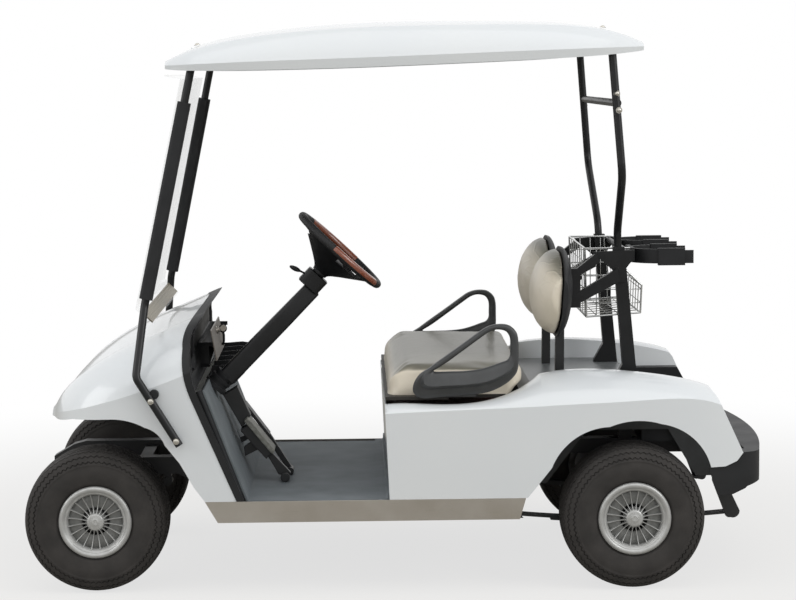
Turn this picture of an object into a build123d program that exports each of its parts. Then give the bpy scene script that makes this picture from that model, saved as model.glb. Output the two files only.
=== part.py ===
from build123d import *
import math
import os

# Two-seat electric golf cart. Millimetres, +X forward, +Y to the left (driver's side), +Z up.
# The origin is on the ground, at the middle of the length and of the width.

# Driving dimensions: wheels and tracks
WHEELBASE = 1680.0
FRONT_AXLE_X = 955.0
REAR_AXLE_X = FRONT_AXLE_X - WHEELBASE
FRONT_TRACK = 876.0
REAR_TRACK = 978.0
TYRE_RADIUS = 226.0
TYRE_WIDTH = 216.0
RIM_RADIUS = 101.6
AXLE_Z = TYRE_RADIUS

# Driving dimensions: body
BODY_HALF_WIDTH = 592.0
FLOOR_Z = 290.0
SEAT_FRONT_X = 48.0
PANEL = 4.0
STRUT_RADIUS = 12.5

# Driving dimensions: steering
KINGPIN_Y = 300.0
ARM_BACK = 130.0
ARM_Z = AXLE_Z - 62.0
COLUMN_Y = 270.0
COLUMN_TOP = Vector(184, COLUMN_Y, 1049)
COLUMN_FOOT = Vector(595, COLUMN_Y, 610)

os.makedirs("parts", exist_ok=True)


def save(name, *solids):
    """Writes one node, from one solid or from several that do not touch."""
    shape = solids[0] if len(solids) == 1 else Compound(children=list(solids))
    export_step(shape, f"parts/{name}.step")


def block(x0, x1, y0, y1, z0, z1):
    """A box by its two corners."""
    return Pos((x0 + x1) / 2, (y0 + y1) / 2, (z0 + z1) / 2) * Box(abs(x1 - x0), abs(y1 - y0), abs(z1 - z0))


def rod(start, end, radius):
    """A round bar between two points."""
    start = Vector(*start)
    end = Vector(*end)
    return extrude(Plane(start, z_dir=end - start) * Circle(radius), (end - start).length)


def outline(plane, start, *moves):
    """A face on a plane. Each move is (u, v) for a line or (via_u, via_v, u, v) for an arc."""
    here = start
    edges = []
    for move in moves:
        there = move[-2:]
        if len(move) == 4:
            edges.append(ThreePointArc(here, move[:2], there))
        else:
            edges.append(Line(here, there))
        here = there
    if here != start:
        edges.append(Line(here, start))
    return plane * make_face(edges)


def side(y):
    """The plane of a side view at a given Y: u is X, v is Z, and it faces -Y."""
    return Plane((0, y, 0), x_dir=(1, 0, 0), z_dir=(0, -1, 0))


def across(x):
    """The plane of a cross-section at a given X: u is Y, v is Z."""
    return Plane((x, 0, 0), x_dir=(0, 1, 0), z_dir=(1, 0, 0))


def plate(y0, y1, start, *moves):
    """A side-view outline between two Y values."""
    return extrude(outline(side(max(y0, y1)), start, *moves), abs(y1 - y0))


def tube(points, bend, radius, wall=0):
    """A round tube along straight runs joined by arcs."""
    path = FilletPolyline(*points, radius=bend) if len(points) > 2 else Line(*points)
    section = Plane(path @ 0, z_dir=path % 0) * Circle(radius)
    solid = sweep(section, path)
    if wall:
        solid -= sweep(Plane(path @ 0, z_dir=path % 0) * Circle(radius - wall), path)
    return solid


def both(solid):
    """A piece and its mirror image on the other side of the cart."""
    return [solid, mirror(solid, about=Plane.XZ)]


# Tyres: 18 x 8.50-8, a hollow carcass with a rounded shoulder, closed by the rim.
HALF = TYRE_WIDTH / 2


def tyre():
    section = outline(
        Plane.XY,
        (-HALF + 18, RIM_RADIUS),
        (-HALF + 18, 113),
        (-HALF, 158, -HALF + 11, 204),
        (-HALF + 17, 217, -HALF + 34, 221),
        (0, TYRE_RADIUS, HALF - 34, 221),
        (HALF - 17, 217, HALF - 11, 204),
        (HALF, 158, HALF - 18, 113),
        (HALF - 18, RIM_RADIUS),
        (HALF - 29, RIM_RADIUS),
        (HALF - 12, 152, HALF - 24, 200),
        (HALF - 40, 210),
        (-HALF + 40, 210),
        (-HALF + 24, 200),
        (-HALF + 12, 152, -HALF + 29, RIM_RADIUS),
    )
    spun = revolve(section, Axis.X)
    return Rot(0, 0, 90) * spun


# Wheels: pressed steel rim with its disc, and a plastic cover with radial fins snapped on it.
HUB_BORE = 36.0
LUG_CIRCLE = 101.6
LUG_HOLE = 6.5
FINS = 20
COVER_Y = 100.0
# The rim's section from the inner flange to the outer: distance from mid-plane, radius
RIM_PROFILE = [(-97, 112), (-92, RIM_RADIUS), (-72, RIM_RADIUS), (-62, 90), (60, 90), (70, RIM_RADIUS), (92, RIM_RADIUS), (97, 112)]


def wheel(outward):
    """The rim with its disc and cover. outward is +1 on the left side of the cart."""
    outer = [(y, r) for y, r in RIM_PROFILE]
    inner = [(y, r - 3.5) for y, r in reversed(RIM_PROFILE)]
    shell = revolve(make_face(Polyline(*outer, *inner, outer[0])), Axis.X)
    disc = Pos(20, 0, 0) * Rot(0, 90, 0) * Cylinder(88, 5)
    for k in range(4):
        angle = math.radians(45 + 90 * k)
        spot = Pos(20, math.cos(angle) * LUG_CIRCLE / 2, math.sin(angle) * LUG_CIRCLE / 2)
        disc -= spot * Rot(0, 90, 0) * Cylinder(LUG_HOLE, 20)
    disc -= Pos(20, 0, 0) * Rot(0, 90, 0) * Cylinder(HUB_BORE, 20)
    ring = revolve(
        outline(Plane.XY, (COVER_Y - 3, 111.5), (COVER_Y + 5, 106, COVER_Y + 2, 97), (COVER_Y - 7, 86), (COVER_Y - 22, 84),
                (COVER_Y - 22, 87), (COVER_Y - 9, 89), (COVER_Y - 3, 98)),
        Axis.X,
    )
    dish = Pos(COVER_Y - 24, 0, 0) * Rot(0, 90, 0) * Cylinder(87, 4)
    cap = Pos(COVER_Y - 15, 0, 0) * Rot(0, 90, 0) * Cylinder(27.5, 22)
    fins = [Rot(360 * k / FINS, 0, 0) * Pos(COVER_Y - 15, 0, 54) * Box(16, 3, 58) for k in range(FINS)]
    whole = shell + [disc, ring, dish, cap, *fins]
    return Rot(0, 0, 90 * outward) * whole


WHEELS = {
    "front_left": (FRONT_AXLE_X, FRONT_TRACK / 2, 1),
    "front_right": (FRONT_AXLE_X, -FRONT_TRACK / 2, -1),
    "rear_left": (REAR_AXLE_X, REAR_TRACK / 2, 1),
    "rear_right": (REAR_AXLE_X, -REAR_TRACK / 2, -1),
}
one_tyre = tyre()
SPINDLE_RADIUS = 12.5
for place, (x, y, outward) in WHEELS.items():
    spot = Pos(x, y, AXLE_Z)
    save(f"tyre_{place}", spot * one_tyre)
    finished = wheel(outward)
    if place.startswith("front"):
        hub = Pos(0, 12 * outward, 0) * Rot(90, 0, 0) * Cylinder(HUB_BORE + 1, 66)
        finished = (finished + hub) - Pos(0, 0, 0) * Rot(90, 0, 0) * Cylinder(SPINDLE_RADIUS + 0.05, 100)
    save(f"wheel_{place}", spot * finished)

# Rear drums: cast hubs with brake drums inside the rear wheels.
SHAFT_RADIUS = 14.0
for place, (x, y, outward) in WHEELS.items():
    if place.startswith("rear"):
        drum = Pos(x, y - 12 * outward, AXLE_Z) * Rot(90, 0, 0) * Cylinder(80, 58)
        hub = Pos(x, y + 30 * outward, AXLE_Z) * Rot(90, 0, 0) * Cylinder(HUB_BORE - 0.5, 30)
        shaft_bore = Pos(x, y, AXLE_Z) * Rot(90, 0, 0) * Cylinder(SHAFT_RADIUS + 0.05, 200)
        studs = []
        for k in range(4):
            angle = math.radians(45 + 90 * k)
            spot = Pos(x + math.cos(angle) * LUG_CIRCLE / 2, y, AXLE_Z + math.sin(angle) * LUG_CIRCLE / 2)
            studs.append(spot * Rot(90, 0, 0) * Cylinder(LUG_HOLE, 200))
        save(f"brake_drum_{place}", (drum + hub) - [shaft_bore, *studs])

# Frame: two box rails, high over both axles, with cross-members, outriggers and a front tube.
RAIL_Y = 175.0
RAIL_W = 50.0
RAIL_LOW = 231.0
RAIL_TOP = 286.0


def rail():
    return plate(
        RAIL_Y - RAIL_W / 2,
        RAIL_Y + RAIL_W / 2,
        (-360, RAIL_LOW),
        (560, RAIL_LOW),
        (720, 318),
        (1060, 318),
        (1060, 373),
        (700, 373),
        (540, RAIL_TOP),
        (-350, RAIL_TOP),
        (-470, 417),
        (-1100, 417),
        (-1100, 370),
        (-500, 370),
    )


CROSS_MEMBERS = [
    # x0, x1, half-length, z0, z1
    (1020, 1060, 175, 318, 358),
    (814, 854, 175, 318, 358),
    (440, 480, 540, 240, 280),
    (60, 100, 540, 240, 280),
    (-350, -310, 540, 240, 280),
    (-520, -480, 300, 375, 415),
    (-1100, -1060, 470, 375, 415),
    (-1040, -1000, 350.2, 375, 415),
]
left_rail = rail()
rails = [left_rail, mirror(left_rail, about=Plane.XZ)]
save("frame_rails", *rails)
members = []
for x0, x1, half, z0, z1 in CROSS_MEMBERS:
    members += (block(x0, x1, -half, half, z0, z1) - rails).solids()
save("frame_cross_members", *members)
save("frame_edge_rails", *both(block(-350, 480, 540, 575, 240, 280)))

# Deck support: a bar under the rear deck on two posts, which the rear strut legs are bolted to.
SUPPORT_X = (-762, -722)
SUPPORT_TOP = 604.0
support_bar = block(*SUPPORT_X, -310, 310, SUPPORT_TOP - 30, SUPPORT_TOP)
save("deck_support", support_bar, *both(block(*SUPPORT_X, 150, 200, 417, SUPPORT_TOP - 30)))

# Spring hangers: the drooping horns ahead of the rails, and the blocks for the springs' rear eyes.
horn = plate(
    RAIL_Y - 25,
    RAIL_Y + 25,
    (1060, 318),
    (1060, 373),
    (1100, 362),
    (1168, 322),
    (1168, 307),
    (1142, 307),
    (1100, 318),
)
save("spring_hangers", *both(horn), *both(block(743, 767, RAIL_Y - 22, RAIL_Y + 22, 307, 318)))

# Battery pack: the six traction batteries under the seat, as one plain block.
save("battery_pack", block(-330, 30, -450, 450, 292, 560))

# Floor: a pressed pan that rises at the front into the kick board, with a ribbed rubber mat.
KICK_FOOT = (480, FLOOR_Z)
KICK_HEAD = (612, 640)
BRAKE_Y = 225.0
ACCELERATOR_Y = 95.0
pedal_slots = [block(470, 620, y - 11, y + 11, 375, 442) for y in (BRAKE_Y, ACCELERATOR_Y)]
pan = plate(
    -586,
    586,
    (50, FLOOR_Z - 4),
    (484, FLOOR_Z - 4),
    (617, 638),
    (612, 640),
    (480, FLOOR_Z),
    (50, FLOOR_Z),
)
pan -= [*pedal_slots, *both(block(484, 640, 576, 600, FLOOR_Z + 3, 660))]
save("floor", pan)
mat = plate(
    -566,
    566,
    (52, FLOOR_Z),
    (480, FLOOR_Z),
    (612, 640),
    (607, 642),
    (476, FLOOR_Z + 4),
    (52, FLOOR_Z + 4),
)
save("floor_mat", mat - pedal_slots)

# Front cowl: one white moulding, a crowned hood whose crease runs out to the nose, with side panels.
COWL_SECTIONS = [
    # x, crown z, crease half-width, crease z, side half-width, side z
    (480, 930, 360, 912, BODY_HALF_WIDTH, 760),
    (672, 858, 352, 836, BODY_HALF_WIDTH, 690),
    (840, 786, 342, 764, 588, 630),
    (940, 729, 332, 708, 566, 600),
    (1025, 660, 312, 644, 505, 575),
    (1080, 594, 275, 584, 395, 555),
    (1112, 546, 215, 541, 285, 532),
]
COWL_LOW = 280.0


def cowl_form(inset, reach=0.0):
    """The hood's solid form, drawn in by a thickness; reach runs it past both ends."""
    faces = []
    for x, crown_z, crease_y, crease_z, side_y, side_z in COWL_SECTIONS:
        c = crease_y - inset
        s = side_y - inset
        via = ((c + s) / 2 + 0.20 * (crease_z - side_z), (crease_z + side_z) / 2 - inset + 0.20 * (s - c))
        low = COWL_LOW - reach
        station = x if x > 480 else x - reach
        station = station - inset if station == COWL_SECTIONS[-1][0] else station
        faces.append(
            outline(
                across(station),
                (-s, low),
                (-s, side_z - inset),
                (-via[0], via[1], -c, crease_z - inset),
                (0, crown_z - inset, c, crease_z - inset),
                (via[0], via[1], s, side_z - inset),
                (s, low),
            )
        )
    return loft(faces)


def cowl_edge(shift):
    """The rear edge of the cowl as the back of a side-view region that reaches past the nose."""
    return plate(
        -700,
        700,
        (590 + shift, 920),
        (645 + shift, 856),
        (666 + shift, 822, 672 + shift, 770),
        (670 + shift, 700, 650 + shift, 625),
        (508 + shift, 292),
        (508 + shift, 200),
        (1300, 200),
        (1300, 920),
    )


FRONT_ARCH = [(604, 292), (640, 340), (684, 418), (729, 475), (752, 510, 790, 531), (850, 553, 905, 556), (1022, 549), (1085, 530), (1300, 512), (1300, 100), (604, 100)]
front_arch = plate(-700, 700, *FRONT_ARCH)
cowl = (cowl_form(0) - cowl_form(PANEL, 20)) & cowl_edge(0)
save("front_cowl", cowl - [front_arch, block(400, 700, -650, 650, 270, 297.3)])

# Edging: the black rubber-lipped moulding round the cowl's rear edge.
edging = (cowl_form(-2) - cowl_form(14, 20)) & (cowl_edge(-24) - cowl_edge(0))
save("cowl_edging", edging & block(400, 800, -700, 700, 297.5, 1000))

# Dash: a black moulded panel inside the cowl, with an open tray across it and a pocket at each end.
DASH_FACE = [(642, 862), (598, 866), (600, 800), (588, 742), (612, 735), (612, 642), (760, 642), (760, 862)]
dash = cowl_form(14.5) & plate(-600, 600, *DASH_FACE)
dash = dash & cowl_edge(-24)
dash -= cowl_form(30, 20) & plate(-600, 600, (668, 830), (668, 660), (800, 660), (800, 830))
for side_y in (1, -1):
    dash -= block(560, 680, side_y * 400, side_y * 520, 690, 800)
tray = plate(-430, 205, (500, 748), (494, 668), (655, 668), (655, 748))
tray -= plate(-424, 199, (506, 760), (500, 674), (640, 674), (640, 760))
save("dash", dash + tray)

# Dash controls: switch plate with the key and a ball-ended selector lever, on the driver's side.
controls = Plane((586, 330, 790), z_dir=(-1, 0, 0.25)) * Pos(0, 0, -32) * Box(80, 90, 70)
save("dash_controls", controls - dash)

# Sills: folded bright metal covers on the edge of the floor, between the wheels.
SILL_OUTLINE = [(608, 297), (-386, 297), (-367, 231), (569, 231)]
sill = plate(592.5, 595.5, *SILL_OUTLINE) + plate(575, 592.5, (560, 231), (-360, 231), (-361, 234), (561, 234))
save("sills", *both(sill))

# Rear body: one white moulding, the seat box with its front panel and the two rear fenders.
REAR_SECTIONS = [
    # x, side half-width, crease z, ridge half-width, ridge z, foot z of the inner wall
    (48, 590, 565, 545, 589, 560),
    (-120, BODY_HALF_WIDTH, 572, 545, 587, 560),
    (-276, BODY_HALF_WIDTH, 577, 538, 598, 566),
    (-360, BODY_HALF_WIDTH, 580, 505, 622, 590),
    (-440, BODY_HALF_WIDTH, 583, 425, 662, 600),
    (-540, BODY_HALF_WIDTH, 588, 402, 673, 600),
    (-700, BODY_HALF_WIDTH, 595, 400, 668, 598),
    (-850, 590, 602, 410, 648, 572),
    (-960, 578, 590, 430, 622, 556),
    (-1085, 545, 500, 450, 540, 500),
]
# The seat box and the fender are lofted apart and meet at this section
REAR_JOINT = 4
BODY_LOW = 297.0


def fender_section(x, side_y, crease_z, ridge_y, ridge_z, foot_z):
    """A moulded wall: up the side, over the fender to its ridge, and down inside it."""
    bulge = 0.13 * math.hypot(side_y - ridge_y, ridge_z - crease_z)
    via_y = (side_y + ridge_y) / 2 + bulge * 0.4
    via_z = (ridge_z + crease_z) / 2 + bulge
    return outline(
        across(x),
        (side_y, BODY_LOW),
        (side_y, crease_z),
        (via_y, via_z, ridge_y, ridge_z),
        (ridge_y, foot_z),
        (ridge_y + PANEL, foot_z),
        (ridge_y + PANEL, ridge_z - PANEL),
        (via_y - 2, via_z - PANEL, side_y - PANEL, crease_z - 2),
        (side_y - PANEL, BODY_LOW),
    )


REAR_ARCH = [
    (-378, 280),
    (-420, 331),
    (-467, 390),
    (-520, 466, -647, 516),
    (-735, 534, -808, 523),
    (-905, 478, -964, 383),
    (-1010, 384),
    (-1048, 399),
    (-1072, 428),
    (-1300, 428),
    (-1300, 100),
    (-378, 100),
]
TAIL = [(-955, 700), (-962, 640, -984, 604), (-1074, 412), (-1110, 380), (-1300, 380), (-1300, 700)]
sections = [fender_section(*row) for row in REAR_SECTIONS]
fender = loft(sections[: REAR_JOINT + 1]) + loft(sections[REAR_JOINT:])
fender -= plate(300, 700, *REAR_ARCH)
fender -= plate(300, 700, *TAIL)
fender -= plate(300, 700, (36, 280), (49, 600), (90, 600), (90, 280))
front_wall = plate(-588, 588, (36, BODY_LOW), (47.75, 580), (43.75, 580), (32, BODY_LOW))
rear_wall = plate(-468, 468, (-1052, 396), (-1062, 428), (-1066, 428), (-1056, 396))
rear_wall += block(-1066, -1040, -468, 468, 426, 430)
rear_body = fender + [mirror(fender, about=Plane.XZ), front_wall]
save("rear_body", rear_body)

# Rear deck: the dark moulded shelf behind the seat, with the bag well behind it.
DECK_REAR = -776.0
rear_deck = plate(
    -398,
    398,
    (-392, 586),
    (-428, 608),
    (-700, 608),
    (-768, 608),
    (DECK_REAR, 601),
    (DECK_REAR, 580),
    (DECK_REAR + 4, 580),
    (DECK_REAR + 4, 599),
    (-766, SUPPORT_TOP),
    (-430, SUPPORT_TOP),
    (-395, 583),
)
save("rear_deck", rear_deck)
WELL_FLOOR = 430.0
WELL_TOP = 578.0
well = block(-1060, DECK_REAR, -392, 392, WELL_FLOOR, WELL_TOP)
well += block(DECK_REAR - 4, DECK_REAR, -392, 392, WELL_FLOOR, 598)
well -= [
    block(-1070, DECK_REAR - 4, 6, 340, WELL_FLOOR + PANEL, 620),
    block(-1070, DECK_REAR - 4, -340, -6, WELL_FLOOR + PANEL, 620),
    *both(block(-1070, DECK_REAR + 1, 345, 400, WELL_FLOOR - 5, WELL_TOP - PANEL)),
    block(-1070, -900, -30, 30, 500, 620),
    plate(-400, 400, (-988, 700), (-988, WELL_TOP), (-1062, 440), (-1200, 440), (-1200, 700)),
]
save("bag_well", well)

# Wheel-arch liners: black sheet beside each rear wheel.
LINER = [(-380, 300), (-392, 560), (-560, 596), (-764, 596), (-770, 572), (-985, 572), (-1040, 440), (-1010, 318), (-950, 318)]
liner = plate(350.5, 353.5, *LINER, (-860, 470), (-600, 470), (-470, 300))
save("rear_liners", *both(liner))

# Rear bumper: a black moulding that wraps round the tail.
BUMPER_LOW = 293.0
BUMPER_TOP = 424.0


def bumper_plan(inset):
    edges = [
        Line((-960, 575 - inset), (-1080 + inset, 540 - inset)),
        ThreePointArc((-1080 + inset, 540 - inset), (-1115 + inset, 515 - inset * 0.8), (-1132 + inset, 470)),
        ThreePointArc((-1132 + inset, 470), (-1181 + inset, 0), (-1132 + inset, -470)),
        ThreePointArc((-1132 + inset, -470), (-1115 + inset, -515 + inset * 0.8), (-1080 + inset, -540 + inset)),
        Line((-1080 + inset, -540 + inset), (-960, -575 + inset)),
        Line((-960, -575 + inset), (-960, 575 - inset)),
    ]
    return make_face(edges)


bumper = extrude(Pos(0, 0, BUMPER_LOW) * bumper_plan(0), BUMPER_TOP - BUMPER_LOW)
bumper -= extrude(Pos(0, 0, BUMPER_LOW - 10) * bumper_plan(6), BUMPER_TOP - BUMPER_LOW + 4)
bumper -= plate(-600, 600, (-900, 200), (-900, 500), (-1072, 500), (-1073, 432), (-1059, 423), (-1001, 383), (-955, 383), (-988, 293), (-988, 200))
bumper -= block(-1085, -900, -470, 470, 200, 500)
bumper -= plate(-600, 600, (-1300, 334), (-1125, 327), (-1084, 316), (-1076, 309), (-1033, 292), (-1033, 100), (-1300, 100))
bumper += both(block(-1166, -1100.1, 215, 240, 375, 418))
save("rear_bumper", bumper)


# Front axle: a beam with a kingpin boss at each end, hung on two leaf springs.
FRONT_SPRING_Y = 175.0
KING_HALF = 48.0
beam = block(FRONT_AXLE_X - 22, FRONT_AXLE_X + 22, -284, 284, AXLE_Z - 22, AXLE_Z + 22)
bosses = [Pos(FRONT_AXLE_X, y, AXLE_Z) * (Cylinder(21, 2 * KING_HALF) - Cylinder(10.05, 200)) for y in (KINGPIN_Y, -KINGPIN_Y)]
bore_clear = [Pos(FRONT_AXLE_X, y, AXLE_Z) * Cylinder(10.05, 200) for y in (KINGPIN_Y, -KINGPIN_Y)]
save("front_axle", (beam + bosses) - bore_clear)


def leaf_spring(x, y, z, half_length, rise, pad_z):
    """A flat spring: three leaves in an arc with an eye at each end, and its axle pad."""
    pack = None
    for k, share in enumerate((1.0, 0.72, 0.45)):
        h = half_length * share
        low = z - 7 * k
        sag = rise * share * share
        leaf = plate(y - 22, y + 22, (x - h, low + sag), (x, low, x + h, low + sag), (x + h, low + sag + 7), (x, low + 7, x - h, low + sag + 7))
        pack = leaf if pack is None else pack + leaf
    for end in (-1, 1):
        eye = Pos(x + end * (half_length + 10), y, z + rise + 8) * Rot(90, 0, 0) * Cylinder(15, 44)
        pack += eye
    pack += block(x - 35, x + 35, y - 26, y + 26, z - 14, pad_z)
    return pack


front_springs = both(leaf_spring(FRONT_AXLE_X, FRONT_SPRING_Y, 262, 190, 22, 270))

save("front_springs", *front_springs)
REAR_SPRING_Y = 322.0
rear_spring = leaf_spring(REAR_AXLE_X, REAR_SPRING_Y, 176, 335, 16, 194)
shackle = plate(
    REAR_SPRING_Y + 22,
    REAR_SPRING_Y + 28,
    (-1000, 375),
    (-1040, 375),
    (-1050, 290),
    (-1092, 202),
    (-1082, 182, -1062, 180),
    (-1050, 182, -1044, 192),
    (-1003, 300),
)
hanger = plate(REAR_SPRING_Y + 22, REAR_SPRING_Y + 28, (-396, 186), (-366, 186), (-312, 240), (-348, 240))
save("rear_springs", *both(rear_spring + [shackle, hanger]))

# Rear axle: tubes, an offset differential and reduction case, and the drive motor.
axle_tube = rod((REAR_AXLE_X, -440, AXLE_Z), (REAR_AXLE_X, 440, AXLE_Z), 32)
case = Pos(REAR_AXLE_X - 10, -60, AXLE_Z + 5) * Rot(90, 0, 0) * Cylinder(92, 130)
shafts = rod((REAR_AXLE_X, -525, AXLE_Z), (REAR_AXLE_X, 525, AXLE_Z), SHAFT_RADIUS)
save("rear_axle", axle_tube + [case, shafts])
motor = rod((REAR_AXLE_X + 66, 5, AXLE_Z + 74), (REAR_AXLE_X + 66, 250, AXLE_Z + 74), 64)
save("drive_motor", motor)

# Steering knuckles: a forked stub axle on a vertical kingpin, with an arm straight back to the tie rod.
EAR = 13.0


def knuckle(left):
    top = Pos(FRONT_AXLE_X, KINGPIN_Y, 0)
    ears = [
        block(FRONT_AXLE_X - 22, FRONT_AXLE_X + 22, KINGPIN_Y - 22, KINGPIN_Y + 42, z, z + EAR)
        for z in (AXLE_Z - KING_HALF - 0.5 - EAR, AXLE_Z + KING_HALF + 0.5)
    ]
    height = KING_HALF + 0.5 + EAR
    web = block(FRONT_AXLE_X - 22, FRONT_AXLE_X + 22, KINGPIN_Y + 28, KINGPIN_Y + 42, AXLE_Z - height, AXLE_Z + height)
    pin = top * Pos(0, 0, AXLE_Z) * Cylinder(10, 2 * height + 8)
    spindle = rod((FRONT_AXLE_X, KINGPIN_Y + 40, AXLE_Z), (FRONT_AXLE_X, FRONT_TRACK / 2 + 44, AXLE_Z), SPINDLE_RADIUS)
    arm = block(FRONT_AXLE_X - ARM_BACK, FRONT_AXLE_X, KINGPIN_Y - 12, KINGPIN_Y + 12, ARM_Z, ARM_Z + EAR)
    eye = Pos(FRONT_AXLE_X - ARM_BACK, KINGPIN_Y, ARM_Z + EAR / 2) * Cylinder(15, EAR)
    solid = ears[0] + [ears[1], web, pin, spindle, arm, eye]
    solid -= Pos(FRONT_AXLE_X - ARM_BACK, KINGPIN_Y, ARM_Z) * Cylinder(6.05, 60)
    return solid if left else mirror(solid, about=Plane.XZ)


save("knuckle_left", knuckle(True))
save("knuckle_right", knuckle(False))

# Tie rod: under the arms, pinned at the left arm and loose in the right one.
ARM_X = FRONT_AXLE_X - ARM_BACK
TIE_Z = ARM_Z - 18
tie = rod((ARM_X, -KINGPIN_Y, TIE_Z), (ARM_X, KINGPIN_Y, TIE_Z), 8)
for y, r in ((KINGPIN_Y, 6.0), (-KINGPIN_Y, 5.0)):
    tie += Pos(ARM_X, y, TIE_Z + 2) * Cylinder(14, 20)
    tie += Pos(ARM_X, y, TIE_Z + 20) * Cylinder(r, 20)
save("tie_rod", tie)

# Drag link: from the left arm into the boot of the steering gear.
LINK_Z = ARM_Z + EAR + 24
LINK_END_Y = 112.0
link = rod((ARM_X, LINK_END_Y, LINK_Z), (ARM_X, KINGPIN_Y, LINK_Z), 8)
link += Pos(ARM_X, KINGPIN_Y, LINK_Z - 2) * Cylinder(14, 20)
link += Pos(ARM_X, KINGPIN_Y, ARM_Z + EAR + 6) * Cylinder(14, 11)
link += Pos(ARM_X, KINGPIN_Y, LINK_Z - 8) * Cylinder(6, 24)
save("drag_link", link)

# Steering gear: rack housing under the frame, its boot open round the drag link, and the input shaft.
GEAR_X = ARM_X + 9
gear = rod((GEAR_X, -140, LINK_Z), (GEAR_X, 30, LINK_Z), 31)
boot = rod((GEAR_X, 30, LINK_Z), (GEAR_X, 196, LINK_Z), 31) - rod((GEAR_X, 32, LINK_Z), (GEAR_X, 200, LINK_Z), 27)
hanger = block(GEAR_X - 15, GEAR_X + 15, -110, -70, LINK_Z, 318)
input_shaft = rod((608, COLUMN_Y - 6, 590), (GEAR_X - 4, -20, LINK_Z + 20), 9)
save("steering_gear", gear + [boot, hanger, input_shaft])

# Steering column: a jacket tube from the kick board to the wheel, with a switch housing near its top.
AXIS = (COLUMN_TOP - COLUMN_FOOT).normalized()


def on_axis(distance, tilt=0.0):
    """A plane square to the column, measured down from the steering wheel's rim."""
    return Plane(COLUMN_TOP - AXIS * distance, x_dir=(0, 1, 0), z_dir=AXIS)


jacket = extrude(on_axis(596) * Circle(19), 596 - 100)
housing = extrude(on_axis(158) * RectangleRounded(74, 66, 12), 55)
lever = rod(on_axis(130).origin + Vector(0, 20, 0), on_axis(112).origin + Vector(52, 40, 28), 4)
knob = Pos(on_axis(112).origin + Vector(56, 40, 31)) * Sphere(9)
behind_kick = plate(-600, 600, (475.5, 294), (606.5, 642), (900, 642), (900, 294))
shaft_bore = extrude(on_axis(160) * Circle(8.05), 70)
save("steering_column", (jacket + [housing, lever, knob]) - [behind_kick, shaft_bore])
boot_form = extrude(on_axis(598) * Circle(40), 14) + extrude(on_axis(584) * Circle(33), 14)
boot_form += extrude(on_axis(570) * Circle(36), 10)
boot_form += extrude(on_axis(560) * Circle(29), 10)
boot_form += extrude(on_axis(550) * Circle(32), 10)
save("column_boot", boot_form - [extrude(on_axis(620) * Circle(19), 120), behind_kick])

# Steering wheel: a dished wheel, padded rim with three spokes down to the hub.
RIM_R = 161.0
RIM_TUBE = 14.0
rim = on_axis(0).location * Torus(RIM_R, RIM_TUBE)
save("steering_rim", rim)
hub = extrude(on_axis(99) * Circle(26), 50)
spokes = []
for angle in (90, 210, 330):
    a = math.radians(angle)
    plane = on_axis(0)
    tip = plane.origin + plane.x_dir * (math.cos(a) * (RIM_R - RIM_TUBE + 1)) + plane.y_dir * (math.sin(a) * (RIM_R - RIM_TUBE + 1))
    low = plane.origin - AXIS * 70 + plane.x_dir * (math.cos(a) * 15) + plane.y_dir * (math.sin(a) * 15)
    spokes.append(rod(low, tip, 9))
pad = extrude(on_axis(58) * Circle(44), 26)
shaft = extrude(on_axis(150) * Circle(8), 60)
save("steering_hub", (hub + [pad, shaft, *spokes]) - rim)

# Pedals: brake and accelerator plates hinged at the floor, each with a link through the kick board.
for name, y, half in (("brake_pedal", BRAKE_Y, 48), ("accelerator_pedal", ACCELERATOR_Y, 32)):
    pad = plate(y - half, y + half, (430, 425), (508, 530), (500, 536), (422, 431))
    arm = plate(y - 12, y + 12, (352, 318), (366, 306), (446, 436), (432, 446))
    foot = Pos(358, y, 307) * Rot(90, 0, 0) * Cylinder(13, 60)
    push = plate(y - 8, y + 8, (440, 452), (448, 440), (540, 388), (548, 408))
    save(name, pad + [arm, foot, push])

# Seat: a board hinged along its front edge, with the cushion and the two moulded hip restraints on it.
SEAT_BOARD_Z = 600.0
HINGE_X = 36.0
HINGE_Z = SEAT_BOARD_Z - 7
HINGE_Y = 300.0
board = block(-330, 46, -500, 500, SEAT_BOARD_Z, SEAT_BOARD_Z + 10)
board += block(-150, 46, -536, 536, SEAT_BOARD_Z, SEAT_BOARD_Z + 10)
board += [Pos(HINGE_X, y, HINGE_Z) * Rot(90, 0, 0) * Cylinder(8, 24) for y in (HINGE_Y, -HINGE_Y)]
board -= [Pos(HINGE_X, y, HINGE_Z) * Rot(90, 0, 0) * Cylinder(4.05, 40) for y in (HINGE_Y, -HINGE_Y)]
save("seat_board", board)
hinge = plate(HINGE_Y - 17, HINGE_Y + 17, (28, 560), (42.92, 560), (43.54, 575), (28, 575))
for y in (HINGE_Y - 15, HINGE_Y + 15):
    hinge += block(30, 42, y - 2, y + 2, 574, HINGE_Z)
    hinge += Pos(HINGE_X, y, HINGE_Z) * Rot(90, 0, 0) * Cylinder(6, 4)
hinge += Pos(HINGE_X, HINGE_Y, HINGE_Z) * Rot(90, 0, 0) * Cylinder(4, 34)
save("seat_hinges", *both(hinge))
cushion = block(-398, 50, -506, 506, SEAT_BOARD_Z + 10.5, 700)
cushion = fillet(cushion.edges().filter_by(Axis.Z), 60)
cushion -= plate(-600, 600, (-420, 605), (-420, 650), (-340, 622), (-335, 605))
cushion = fillet(cushion.edges().group_by(Axis.Z)[-1], 22)
save("seat_cushion", cushion)

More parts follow.
